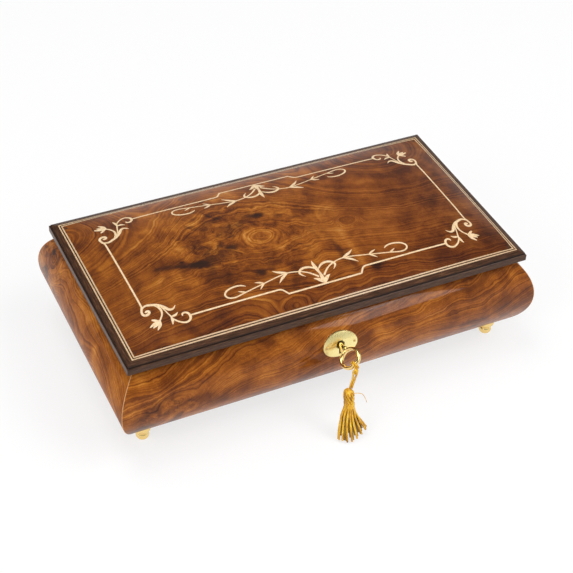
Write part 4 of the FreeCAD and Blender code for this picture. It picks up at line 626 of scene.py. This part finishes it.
# Lid moulding: four mitred strips of dark close-grained hardwood with a rounded band, satin lacquered.
# The narrow margin outside the stringing, which is the panel's own edge, is stained to match.
LID_SIDE_EXCESS = 66.5
LID_TOP_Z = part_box("lid_mouldings")[1].z / MM
QUIRK_Z, QUIRK_HALF = LID_TOP_Z - 1.55, 0.55
PORE_TONES = [(0.32, (0.024, 0.008, 0.002)), (0.55, (0.070, 0.027, 0.010)), (0.72, (0.150, 0.064, 0.025))]
# colour of the painted shade in the quirk below the moulding's slope
QUIRK_SHADE_TONE = (0.010, 0.003, 0.001, 1)


def dark_wood(name):
    """Dark hardwood with fine straight pores along each side of the lid, and painted shade in the quirk."""
    wood = Finish(name)
    middle = wood.place((0, -CASE_Y, 0))
    out = [wood.axis(middle, k).math("ABSOLUTE") for k in "XY"]
    pores = []
    for stretch in ((120, 1400, 1400), (1400, 120, 1400)):
        pores.append(wood.noise(wood.place(scale=stretch), 1.0, 4.0, 0.6))
    at_end = (out[0] - out[1]).math("GREATER_THAN", LID_SIDE_EXCESS * MM)
    grain = pores[0] + (pores[1] - pores[0]) * at_end
    height = wood.axis(wood.place((0, 0, -QUIRK_Z * MM)), "Z") / (QUIRK_HALF * MM)
    # darkens the band round the quirk as painted shade
    colour = wood.blend(0.85 / (1 + height ** 8), wood.ramp(grain, PORE_TONES), QUIRK_SHADE_TONE)
    return wood.principled(Base_Color=colour, Roughness=0.38 + grain * 0.12, Coat_Weight=0.28,
                           Normal=wood.bump(grain, 0.15, 0.1), Coat_Roughness=0.10,
                           Specular_IOR_Level=0.14)


finished(dressed("lid_mouldings", ROUND_TURN), dark_wood("moulding_wood"))
coated("lid_panel", dark_wood("lid_core_wood"))

# Stringing: two thin lines of pale maple, mitred at the corners, let into the panel near its edge and
# lacquered with it.


def maple(name, dark_tone, pale_tone):
    """Pale close-grained wood under lacquer."""
    wood = Finish(name)
    grain = wood.noise(wood.place(scale=(700, 700, 700)), 1.2, 3.0)
    colour = wood.ramp(grain, [(0.3, dark_tone), (0.7, pale_tone)])
    return wood.principled(Base_Color=colour, Roughness=0.42 + grain * 0.05, Coat_Weight=0.4,
                           Coat_Roughness=0.13)


coated("lid_stringing", maple("stringing_maple", (0.54, 0.34, 0.17), (0.74, 0.54, 0.33)))

# Lid veneer: one leaf of burl, pressed over the domed panel inside the stringing, with a ringed eye
# near its middle, dark knots, and lines that sweep round them. Its tone runs from amber to red-brown.
DOME_RISE = 9.4
DOME_END_POWER = 6.6
DOME_SIDE_POWER = 3.1
PANEL_X, PANEL_Y = 135.52, 69.02
VENEER_MARGIN = 2.95
VENEER_LIFT = 0.03
VENEER_ACROSS, VENEER_DEEP = 180, 100
lid_middle = Vector((0, node_middle("lid_mouldings").y, LID_TOP_Z * MM))


def dome(x, y):
    """Height of the lid's surface, in millimetres, over a point measured from its middle."""
    ends = 1 - abs(x / PANEL_X) ** DOME_END_POWER
    sides = 1 - abs(y / PANEL_Y) ** DOME_SIDE_POWER
    return LID_TOP_Z + DOME_RISE * ends * sides


bpy.ops.object.select_all(action="DESELECT")
bpy.ops.mesh.primitive_grid_add(x_subdivisions=VENEER_ACROSS, y_subdivisions=VENEER_DEEP, size=2.0,
                                location=(0, lid_middle.y, 0))
lid_veneer = bpy.context.active_object
lid_veneer.name = "lid_veneer"
lid_veneer.scale = ((PANEL_X - VENEER_MARGIN) * MM, (PANEL_Y - VENEER_MARGIN) * MM, 1)
bpy.ops.object.transform_apply(location=True, rotation=True, scale=True)
for v in lid_veneer.data.vertices:
    v.co.z = (dome(v.co.x / MM, (v.co.y - lid_middle.y) / MM) + VENEER_LIFT) * MM
bpy.ops.object.shade_smooth()
LID_LONG, LID_DEEP = 270, 140
SIDE_GAINS = [(0.0, (0.74, 0.70, 0.60)), (0.10, (0.80, 0.78, 0.80)), (0.22, (0.86, 0.85, 0.92)),
              (0.5, (0.89, 0.88, 1.0)), (0.72, (0.74, 0.70, 1.0)), (1.0, (0.50, 0.47, 0.9))]
# painted shade along the front of the lid, where the dome turns away from the light
FRONT_SHADE_GAINS = [(0.04, (0.66, 0.58, 0.40)), (0.16, (0.90, 0.88, 0.84)), (0.26, (1.0, 1.0, 1.0))]


def lid_shade(wood, colour):
    """Amber to the left, brown in the middle, dark red-brown to the right, and a darker amber along the
    front, which is painted shade where the dome falls away from the light.
    """
    flat = wood.place([-v / MM for v in lid_middle], scale=IN_MM)
    across = wood.ramp(wood.axis(flat, "X") / LID_LONG + 0.5, SIDE_GAINS)
    back = wood.ramp(wood.axis(flat, "Y") / LID_DEEP + 0.5, FRONT_SHADE_GAINS)
    return wood.blend(1.0, wood.blend(1.0, colour, across, "MULTIPLY"), back, "MULTIPLY")


LID_GLOSS = 0.5
LID_EYES = [(-138, 52, 72, 60, 46), (95, 62, 85, 66, 34), (39, -8, 9, 7, 6), (-24.6, -64, 15, 12, 10),
            (-20.6, -2.3, 20, 16, 12)]
LID_KNOTS = [(-20.6, -2.3, 1.0, 0.9, 0.9), (-20.6, -2.3, 12.0, 8.5, -1.0), (-13.7, 19.0, 4.4, 2.2, 0.9),
             (-92.0, -7.0, 6.0, 1.6, 0.5), (-84.0, -9.4, 7.0, 1.7, 0.5), (-75.0, -11.6, 7.0, 2.0, 0.6),
             (-66.5, -13.6, 4.6, 3.2, 0.95), (-63.0, -20.0, 2.6, 5.0, 0.4), (-77.9, -6.8, 1.3, 1.1, 0.9),
             (-42.8, -5.0, 3.6, 2.4, 0.8), (-34.6, -33.7, 3.4, 2.4, 0.8), (-40.0, 8.0, 9.0, 6.0, 0.24),
             (-32.0, 15.0, 7.0, 5.0, 0.22), (-54.0, -9.0, 10.0, 6.0, 0.3), (20.5, -33.0, 2.2, 11.0, 0.5),
             (24.5, -44.0, 2.0, 7.0, 0.4), (37.5, -52.0, 3.2, 3.0, 0.7), (30.0, -30.0, 2.4, 13.0, -0.8),
             (31.0, -49.0, 2.4, 7.0, -0.7), (11.0, 3.0, 8.0, 2.6, -0.6), (-17.0, -17.0, 10.0, 2.0, -0.6),
             (-92.0, 18.0, 26.0, 20.0, -0.2)]
LID_TONES = [(0.10, (0.040, 0.008, 0.001)), (0.36, (0.150, 0.036, 0.003)), (0.54, (0.300, 0.082, 0.006)),
             (0.72, (0.470, 0.155, 0.014)), (0.92, (0.650, 0.285, 0.050))]
LID_DRIFT, LID_SWIRL, LID_SEED = (0.05, 0.8), (-36, 2, 58, 36), 5.0
lid_leaf = veneer("lid_burl", (0, 0, 0), lid_middle, LID_DRIFT, LID_EYES, LID_KNOTS, LID_TONES, LID_SEED,
                  LID_SWIRL, LID_GLOSS, lid_shade)
finished(lid_veneer, lid_leaf)
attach(lid_veneer, "lid")

# Marquetry: scrolls, vines and a border line, knife-cut from pale maple and let in flush with the
# veneer. Each corner has a curl, a tulip and a leaf; a palmette and vines stand at the front and back.
# Strokes are (points, widths) in millimetres from the lid's middle, drawn for the front left quarter.
LINE = 1.1
SIDE_X, SIDE_END = 115.1, 33.0
EDGE_Y, STEP_Y = 50.4, 55.0
PATTERN_Z, INLAY_LIFT, BLADE_HALF = 0.12, 0.03, 0.5


def straight(first, last, count):
    """Points along a straight run."""
    return [(first[0] + (last[0] - first[0]) * k / count, first[1] + (last[1] - first[1]) * k / count)
            for k in range(count + 1)]


CORNER_STROKES = [
    ([(-115.1, -32.4), (-115.6, -34.0), (-116.5, -36.0), (-116.8, -38.4), (-115.8, -39.9), (-114.0, -40.2),
      (-112.5, -39.2), (-112.4, -37.6), (-113.7, -37.1), (-114.6, -38.0)],
     [1.1, 1.4, 1.4, 1.5, 1.7, 1.9, 1.9, 1.7, 1.6, 1.2]),
    ([(-115.4, -34.4), (-113.8, -32.8), (-111.4, -32.9), (-108.8, -34.0), (-106.4, -35.1), (-104.3, -36.9),
      (-102.6, -38.9), (-101.2, -41.4), (-99.4, -42.4), (-97.4, -41.8), (-95.9, -39.8)],
     [0.6, 1.5, 1.7, 1.8, 1.9, 1.9, 2.0, 2.0, 1.6, 1.1, 0.2]),
    ([(-108.6, -34.2), (-106.4, -36.0), (-105.2, -39.6), (-105.6, -43.0), (-107.4, -45.8), (-109.8, -48.4)],
     [0.8, 1.6, 1.5, 1.1, 1.0, 1.0]),
    ([(-109.0, -47.6), (-110.8, -46.9), (-112.0, -45.8), (-113.4, -45.0)], [0.8, 1.7, 1.8, 0.9]),
    ([(-109.2, -48.0), (-111.6, -48.0), (-113.8, -48.9), (-116.4, -50.0)], [0.9, 2.0, 2.2, 0.5]),
    ([(-109.4, -48.2), (-111.2, -49.4), (-112.8, -50.2), (-114.6, -51.2)], [0.9, 1.9, 1.8, 0.5]),
    ([(-109.0, -47.6), (-109.4, -49.8), (-110.8, -51.6), (-112.6, -53.6)], [0.9, 2.0, 1.9, 0.5]),
    ([(-104.6, -37.0), (-103.3, -41.0), (-102.4, -44.6), (-101.5, -47.2)], [0.8, 0.8, 0.8, 1.0]),
    ([(-101.7, -47.4), (-99.8, -47.2), (-98.2, -47.0), (-96.6, -45.6)], [0.8, 1.7, 1.5, 0.4]),
    ([(-101.4, -47.0), (-101.5, -49.4), (-101.9, -51.0), (-102.6, -53.0)], [0.9, 1.8, 1.6, 0.5]),
    ([(-101.7, -48.0), (-100.0, -51.0), (-97.2, -53.4), (-94.2, -54.6), (-91.6, -53.6), (-90.3, -51.6),
      (-90.5, -49.2), (-91.6, -47.7), (-93.4, -47.2), (-94.8, -48.0), (-94.8, -49.2)],
     [0.8, 1.1, 1.1, 1.2, 1.4, 1.6, 1.6, 1.4, 1.3, 1.2, 0.6]),
    (straight((-SIDE_X, -SIDE_END), (-SIDE_X, 0), 8), [LINE] * 9),
    (straight((-90.6, -EDGE_Y), (-33.0, -EDGE_Y), 14) + [(-30.2, -EDGE_Y), (-28.4, -51.2), (-27.2, -52.8),
                                                       (-25.6, -STEP_Y)], [LINE] * 19),
    (straight((-25.9, -STEP_Y), (0, -STEP_Y), 6), [LINE] * 7),
]
VINE_STROKES = [
    ([(-1.8, -49.0), (-4.2, -46.2), (-7.6, -43.4), (-11.6, -41.4), (-16.0, -40.2), (-20.0, -39.8),
      (-24.0, -40.2), (-29.0, -41.1), (-37.5, -42.9), (-45.0, -44.4), (-53.6, -46.2), (-58.4, -47.4),
      (-62.6, -46.8), (-64.6, -44.2), (-63.0, -41.2), (-59.0, -39.5), (-54.4, -39.0), (-50.4, -40.0),
      (-49.2, -41.2)],
     [1.3, 1.2, 1.0, 0.9, 0.9, 0.9, 0.9, 0.8, 0.8, 0.8, 0.9, 1.0, 1.1, 1.2, 1.2, 1.2, 1.2, 1.0, 0.5]),
    ([(-50.4, -45.6), (-52.6, -44.9), (-53.8, -44.2), (-55.4, -43.6)], [0.4, 1.2, 1.0, 0.2]),
    ([(-0.6, -43.2), (-2.8, -40.6), (-6.4, -39.3), (-9.8, -39.6), (-12.4, -41.4), (-12.6, -43.8),
      (-9.8, -46.4)],
     [0.6, 1.5, 1.7, 1.7, 1.5, 1.4, 0.2]),
    ([(-19.6, -39.7), (-22.6, -38.6), (-25.8, -37.2), (-28.4, -35.2)], [0.6, 2.0, 1.7, 0.2]),
    ([(-19.8, -40.0), (-23.0, -41.6), (-25.6, -43.4), (-28.0, -46.0)], [0.6, 1.9, 1.6, 0.2]),
    ([(-37.0, -42.8), (-39.2, -41.6), (-40.6, -41.0), (-42.8, -40.4)], [0.5, 1.5, 1.3, 0.2]),
    ([(-37.2, -43.0), (-38.8, -44.0), (-39.9, -45.1), (-41.4, -46.6)], [0.5, 1.3, 1.1, 0.2]),
    ([(0.0, -54.4), (-2.0, -51.9), (-3.6, -50.2), (-5.8, -49.4)], [1.0, 2.6, 2.0, 0.3]),
]
MIDDLE_STROKES = [
    ([(0.0, -54.8), (0.0, -51.6), (0.0, -49.4), (0.0, -47.2), (0.0, -45.6)], [1.0, 3.0, 2.4, 1.6, 1.2]),
    ([(0.0, -47.6), (-0.5, -43.6), (-1.2, -39.6), (-0.9, -35.4)], [1.2, 2.2, 2.7, 0.2]),
]
pattern = bpy.data.curves.new("marquetry_pattern", "CURVE")
pattern.dimensions = "3D"
pattern.twist_mode = "Z_UP"
pattern.resolution_u = 6


def stroke(points, widths, flip_x, flip_y):
    """One ribbon of the pattern; its width comes from each point's radius."""
    line = pattern.splines.new("NURBS")
    line.points.add(len(points) - 1)
    for point, (x, y), width in zip(line.points, points, widths):
        point.co = (x * flip_x * MM, y * flip_y * MM + lid_middle.y, PATTERN_Z, 1)
        point.radius = width
    line.order_u = 3
    line.use_endpoint_u = True


for flip_y in (1, -1):
    for flip_x in (1, -1):
        for points, widths in CORNER_STROKES + VINE_STROKES:
            stroke(points, widths, flip_x, flip_y)
    for points, widths in MIDDLE_STROKES:
        stroke(points, widths, 1, flip_y)
blade = bpy.data.curves.new("blade_width", "CURVE")
edge = blade.splines.new("POLY")
edge.points.add(1)
edge.points[0].co = (-BLADE_HALF * MM, 0, 0, 1)
edge.points[1].co = (BLADE_HALF * MM, 0, 0, 1)
blade_object = bpy.data.objects.new("blade_width", blade)
bpy.context.scene.collection.objects.link(blade_object)
pattern.bevel_mode = "OBJECT"
pattern.bevel_object = blade_object
marquetry = bpy.data.objects.new("lid_marquetry", pattern)
bpy.context.scene.collection.objects.link(marquetry)
pick_only(marquetry)
bpy.ops.object.convert(target="MESH")
marquetry = bpy.context.active_object
bpy.data.objects.remove(blade_object)
press = marquetry.modifiers.new("press", "SHRINKWRAP")
press.target = lid_veneer
press.wrap_method = "PROJECT"
press.use_project_z = True
press.use_negative_direction = True
press.use_positive_direction = True
press.offset = INLAY_LIFT * MM
bpy.ops.object.modifier_apply(modifier=press.name)
bpy.ops.object.shade_smooth()
finished(marquetry, maple("marquetry_maple", (0.72, 0.48, 0.24), (0.93, 0.73, 0.47)))
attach(marquetry, "lid")

# Escutcheon and its pins: an oval of brass with a fine satin face, bent to the swell and nailed over
# the keyhole.
KEY_AXIS_Z = 50.3
# painted shade round the keyhole: its reach and blur in millimetres, and its colour
HOLE_SHADE_REACH = 2.9
HOLE_SHADE_BLUR = 0.3
HOLE_SHADE_TONE = (0.05, 0.030, 0.010, 1)
OVAL_EDGE, OVAL_ROWS = 0.3, 3


def keyhole_shaded_brass(name):
    """Satin brass, cream in the light, with painted shade in and round the keyhole: a dark ring that stands
    for the shadow of a wider hole.
    """
    metal = Finish(name)
    here = metal.place((0, 0, -KEY_AXIS_Z), scale=IN_MM)
    away = metal.vector("LENGTH", metal.vector("MULTIPLY", here, (1, 0, 1)), output="Value")
    haze = metal.noise(here, 0.8, 3.0)
    # a dark ring round the key's axis, painted as the keyhole's shadow
    hole_shade = metal.fade(away + (haze - 0.5) * 0.8, HOLE_SHADE_REACH + HOLE_SHADE_BLUR, HOLE_SHADE_REACH - HOLE_SHADE_BLUR, 0.9)
    bright = metal.blend(haze, (0.92, 0.75, 0.31, 1), (1.0, 0.89, 0.43, 1))
    tone = metal.blend(hole_shade, bright, HOLE_SHADE_TONE)
    return metal.principled(Base_Color=tone, Metallic=1.0, Roughness=0.24 + haze * 0.08)


oval = dressed("escutcheon", edge=OVAL_EDGE, rows=OVAL_ROWS)
finished(oval, keyhole_shaded_brass("satin_brass"))
finished(dressed("escutcheon_pins", LATHE_TURN), lock_brass)

# Key: cast and polished brass, with a ring bow, a collared shank and a flag bit. It stands an eighth of
# a turn round in the lock.
BOW_MIDDLE, BOW_RADIUS, BOW_HALF_THICK, BOW_HALF_WIDE = -83.3145, 6.55, 1.2, 1.7
KEY_TURN, CAST_TURN = math.radians(45), math.radians(35)
BIT_THICK, BIT_REACH, BIT_LONG = 1.8, 6.2, 5.0
key_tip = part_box("lock_key")[1].y / MM
shank_start = BOW_MIDDLE + BOW_RADIUS
shank_long = key_tip - shank_start
# radius and distance along the shank from the middle of the bow's band
SHANK_PROFILE = [(1.2, 0.0), (1.8, 0.6), (2.3, 1.2), (2.6, 1.4), (2.6, 2.4), (2.3, 2.6), (1.8, 2.7),
                 (1.8, shank_long - 0.4), (1.4, shank_long)]
bpy.ops.object.select_all(action="DESELECT")
bpy.ops.mesh.primitive_torus_add(major_radius=BOW_RADIUS * MM, minor_radius=BOW_HALF_THICK * MM,
                                 major_segments=72, minor_segments=24, rotation=(0, math.pi / 2, 0),
                                 location=(0, BOW_MIDDLE * MM, 0))
key = bpy.context.active_object
key.name = "lock_key_cast"
key.scale = (1, 1, BOW_HALF_WIDE / BOW_HALF_THICK)
bpy.ops.object.transform_apply(location=True, rotation=True, scale=True)
shank = turned_piece("key_shank", SHANK_PROFILE, (0, 0, 0), 32)
shank.rotation_euler = (-math.pi / 2, 0, 0)
shank.location = (0, shank_start * MM, 0)
bpy.ops.object.select_all(action="DESELECT")
bpy.ops.mesh.primitive_cube_add(size=MM, location=(0, (key_tip - BIT_LONG / 2) * MM, -BIT_REACH / 2 * MM))
bit = bpy.context.active_object
bit.scale = (BIT_THICK, BIT_LONG, BIT_REACH)
for part in (shank, bit):
    pick_only(key)
    join = key.modifiers.new("cast_on", "BOOLEAN")
    join.object = part
    join.operation = "UNION"
    join.solver = "EXACT"
    bpy.ops.object.modifier_apply(modifier=join.name)
    bpy.data.objects.remove(part)
key.rotation_euler = (0, KEY_TURN, 0)
key.location = (0, 0, KEY_AXIS_Z * MM)
bpy.ops.object.transform_apply(location=True, rotation=True, scale=True)
bpy.ops.object.shade_smooth_by_angle(angle=CAST_TURN)
finished(key, polished_brass)
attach(key, "key")
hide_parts("lock_key")

# Hinges: two pairs of rolled brass leaves on steel pins, let in flush to the back wall and the lid, each
# leaf held by three countersunk brass screws.
for name in ("hinge_case_leaves", "hinge_lid_leaves"):
    finished(dressed(name, ROUND_TURN, PLATE_EDGE), polished_brass)
finished(dressed("hinge_pins", ROUND_TURN), steel)
slotted("hinge_case_screws", UPWARD, polished_brass)
slotted("hinge_lid_screws", DOWNWARD, polished_brass)

# Tassel cord: a twisted cord of golden rayon, which rises from the head of the tassel, goes round the
# key's bow and comes back down beside itself.
CORD_DIAMETER = 1.3
CORD_ROUTE = [(-4.46, -93.8, 36.0), (-4.16, -94.1, 39.0), (-3.36, -94.58, 44.9),
              (-3.2607, -93.6847, 50.9), (-1.1393, -95.806, 50.9), (-2.44, -95.51, 44.9),
              (-3.24, -95.03, 39.0), (-3.54, -94.73, 36.0)]


def rayon(name, stretch, spread, depth=1.0):
    """Shiny golden thread with fine filaments. The less the spread, the more they differ, and depth
    darkens the thread as painted shade, for those that lie under others."""
    thread = Finish(name)
    strands = thread.noise(thread.place(scale=stretch), 1.0, 3.0)
    broad = thread.noise(thread.place(scale=(500, 500, 60)), 1.0, 1.0)
    tone = thread.ramp(strands * 0.35 + broad * 0.65,
                       [(0.5 - spread, (0.30 * depth, 0.115 * depth, 0.002)),
                        (0.5, (0.78 * depth, 0.400 * depth, 0.010)),
                        (0.5 + spread, (1.0 * depth, 0.70 * depth, 0.08 * depth))])
    return thread.principled(Base_Color=tone, Roughness=0.26 + strands * 0.1,
                             Normal=thread.bump(strands, 0.4, 0.2))


def threads(name, routes, thickness, finishes, resolution=6, inner=0):
    """Round threads along smooth routes in millimetres, each point with its share of the thickness. The
    last of them, the inner ones, have the second finish."""
    curve = bpy.data.curves.new(name, "CURVE")
    curve.dimensions = "3D"
    curve.resolution_u = resolution
    curve.bevel_depth = thickness / 2 * MM
    curve.bevel_resolution = 2
    curve.use_fill_caps = True
    for finish in finishes:
        curve.materials.append(finish)
    for k, route in enumerate(routes):
        spline = curve.splines.new("NURBS")
        spline.material_index = int(k >= len(routes) - inner)
        spline.points.add(len(route) - 1)
        for point, (x, y, z, share) in zip(spline.points, route):
            point.co = (x * MM, y * MM, z * MM, 1)
            point.radius = share
        spline.order_u = 3
        spline.use_endpoint_u = True
    piece = bpy.data.objects.new(name, curve)
    bpy.context.scene.collection.objects.link(piece)
    return piece


cord_rayon = rayon("cord_rayon", (1500, 1500, 900), 0.3)
cord_points = [(*point, 1.0) for point in CORD_ROUTE]
tassel_cord = threads("tassel_cord_twist", [cord_points], CORD_DIAMETER, [cord_rayon], resolution=12)
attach(tassel_cord, "tassel")
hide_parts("tassel_cord")

# Tassel knot: close turns of the same thread round the ring's band, and a whipping round the cord's
# two legs just below them.
knot_middle = node_middle("tassel_knot") / MM
band = Vector((math.sqrt(0.5), 0, math.sqrt(0.5)))
outward = Vector((0, -1, 0))
KNOT_TURNS, KNOT_RADIUS, KNOT_PITCH, KNOT_THREAD = 2, 2.7, 1.1, 1.15
WHIP_TURNS, WHIP_RADIUS, WHIP_THREAD = 4, 1.15, 0.85
WHIP_LOW, WHIP_HIGH = Vector((-2.3, -94.9, 47.6)), Vector((-0.9, -93.7, 50.8))
TURN_POINTS = 12


def winding(middle, along, first, radius, pitch, turns):
    """Points of a close helix round an axis, in millimetres."""
    second = along.cross(first)
    route = []
    for k in range(TURN_POINTS * turns + 1):
        angle = 2 * math.pi * k / TURN_POINTS
        place = middle + along * pitch * (k / TURN_POINTS - turns / 2)
        place = place + (first * math.cos(angle) + second * math.sin(angle)) * radius
        route.append((*place, 1.0))
    return route


def to_mesh(piece, node=None, body="tassel"):
    """Makes threads a mesh on their body, which may stand for a node."""
    pick_only(piece)
    bpy.ops.object.convert(target="MESH")
    bpy.ops.object.shade_smooth()
    piece = bpy.context.active_object
    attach(piece, body)
    if node:
        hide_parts(node)


knot_turns = winding(knot_middle, band, outward, KNOT_RADIUS, KNOT_PITCH, KNOT_TURNS)
to_mesh(threads("tassel_knot_turns", [knot_turns], KNOT_THREAD, [cord_rayon]), "tassel_knot", "key")
whip_axis = WHIP_HIGH - WHIP_LOW
whip = winding((WHIP_LOW + WHIP_HIGH) / 2, whip_axis.normalized(), outward, WHIP_RADIUS,
               whip_axis.length / WHIP_TURNS, WHIP_TURNS)
to_mesh(threads("tassel_cord_whipping", [whip], WHIP_THREAD, [cord_rayon]))

# Tassel: a head of thread bent over a core, a binding wound round its neck, and a skirt of loose
# threads that fans out and sweeps to the right, with one thread pulled out of the head.
HEAD_TOP, HEAD_LOW, NECK_LOW = 36.0, 26.2, 22.8
TASSEL_TOP_AT, TASSEL_FOOT_AT = Vector((-5.6, -94.265)), Vector((-6.0, -103.465))
HEAD_RADIUS, NECK_RADIUS = 3.7, 3.05
SKIRT_WIDE, SKIRT_DEEP = 10.3, 5.2
HEAD_THREADS, HEAD_TWIST, HEAD_STEPS = 11, 1.7, 8
HEAD_THREAD, NECK_THREAD, SKIRT_THREAD = 1.4, 1.2, 1.45
NECK_TURNS = 3
# spread and number of threads in each layer of the skirt, from the outside in
SKIRT_LAYERS = ((1.0, 16), (0.74, 13), (0.42, 8))
SKIRT_STEPS = (0.0, 0.2, 0.45, 0.75, 1.0)
# a thread pulled out of the head, with its share of the head thread's thickness
LOOSE_THREAD = [(-2.6, -95.6, 31.6, 0.3), (1.0, -96.3, 31.4, 0.3), (5.0, -96.7, 28.4, 0.3),
                (7.4, -96.9, 20.6, 0.25)]
outer_rayon = rayon("outer_rayon", (1600, 1600, 160), 0.2)
# a copy of the thread darkened as painted shade, for the threads inside the skirt
inner_rayon = rayon("inner_rayon", (1600, 1600, 160), 0.2, 0.5)
chance = random.Random(8)


def ring_point(height, angle, wide, deep):
    """A point on a level oval round the tassel's leaning axis."""
    middle = TASSEL_FOOT_AT.lerp(TASSEL_TOP_AT, height / HEAD_TOP)
    return (middle.x + wide * math.cos(angle), middle.y + deep * math.sin(angle), height)


head_routes = []
for k in range(HEAD_THREADS):
    route = []
    for j in range(HEAD_STEPS + 1):
        share = j / HEAD_STEPS
        height = HEAD_TOP - 0.5 - (HEAD_TOP - HEAD_LOW) * share
        swell = math.sin(math.pi * min(0.04 + 0.9 * share ** 0.7, 0.5)) * (1 - 0.16 * share ** 3)
        radius = max(HEAD_RADIUS * swell - 0.6, 0.2)
        angle = 2 * math.pi * k / HEAD_THREADS + HEAD_TWIST * share
        route.append((*ring_point(height, angle, radius, radius), 1.0))
    head_routes.append(route)
head_routes.append(LOOSE_THREAD)
to_mesh(threads("tassel_head_threads", head_routes, HEAD_THREAD, [outer_rayon]), "tassel_head")
binding = []
for k in range(TURN_POINTS * NECK_TURNS + 1):
    height = HEAD_LOW + 0.4 - (HEAD_LOW - NECK_LOW) * k / (TURN_POINTS * NECK_TURNS)
    binding.append((*ring_point(height, 2 * math.pi * k / TURN_POINTS, NECK_RADIUS, NECK_RADIUS), 1.0))
to_mesh(threads("tassel_neck_binding", [binding], NECK_THREAD, [outer_rayon]))
skirt_top = NECK_LOW + 1.2
skirt_routes = []
for layer, count in SKIRT_LAYERS:
    for k in range(count):
        angle = 2 * math.pi * (k + chance.random() * 0.6) / count
        spread = layer * chance.uniform(0.86, 1.02)
        right = math.cos(angle)
        end = chance.uniform(0.9, 2.2) + 3.2 * max(0.0, right) * spread
        bow = 1.05 + 0.45 * right
        route = []
        for share in SKIRT_STEPS:
            height = skirt_top + (end - skirt_top) * share
            grow = share ** bow
            tied = NECK_RADIUS * layer * 0.85 * (1 - grow)
            wide = tied + SKIRT_WIDE * spread * grow
            deep = tied + SKIRT_DEEP * spread * grow
            x, y, z = ring_point(height, angle, wide, deep)
            sway = math.sin(share * math.pi) * chance.uniform(-0.6, 0.6)
            route.append((x + sway + 1.2 * share ** 2, y + sway * 0.6, z, 1.0 - 0.15 * share))
        skirt_routes.append(route)
inner_count = sum(count for layer, count in SKIRT_LAYERS[1:])
# the inner layers of the skirt get the copy with painted shade
skirt = threads("tassel_skirt_threads", skirt_routes, SKIRT_THREAD, [outer_rayon, inner_rayon],
                inner=inner_count)
to_mesh(skirt, "tassel_skirt")
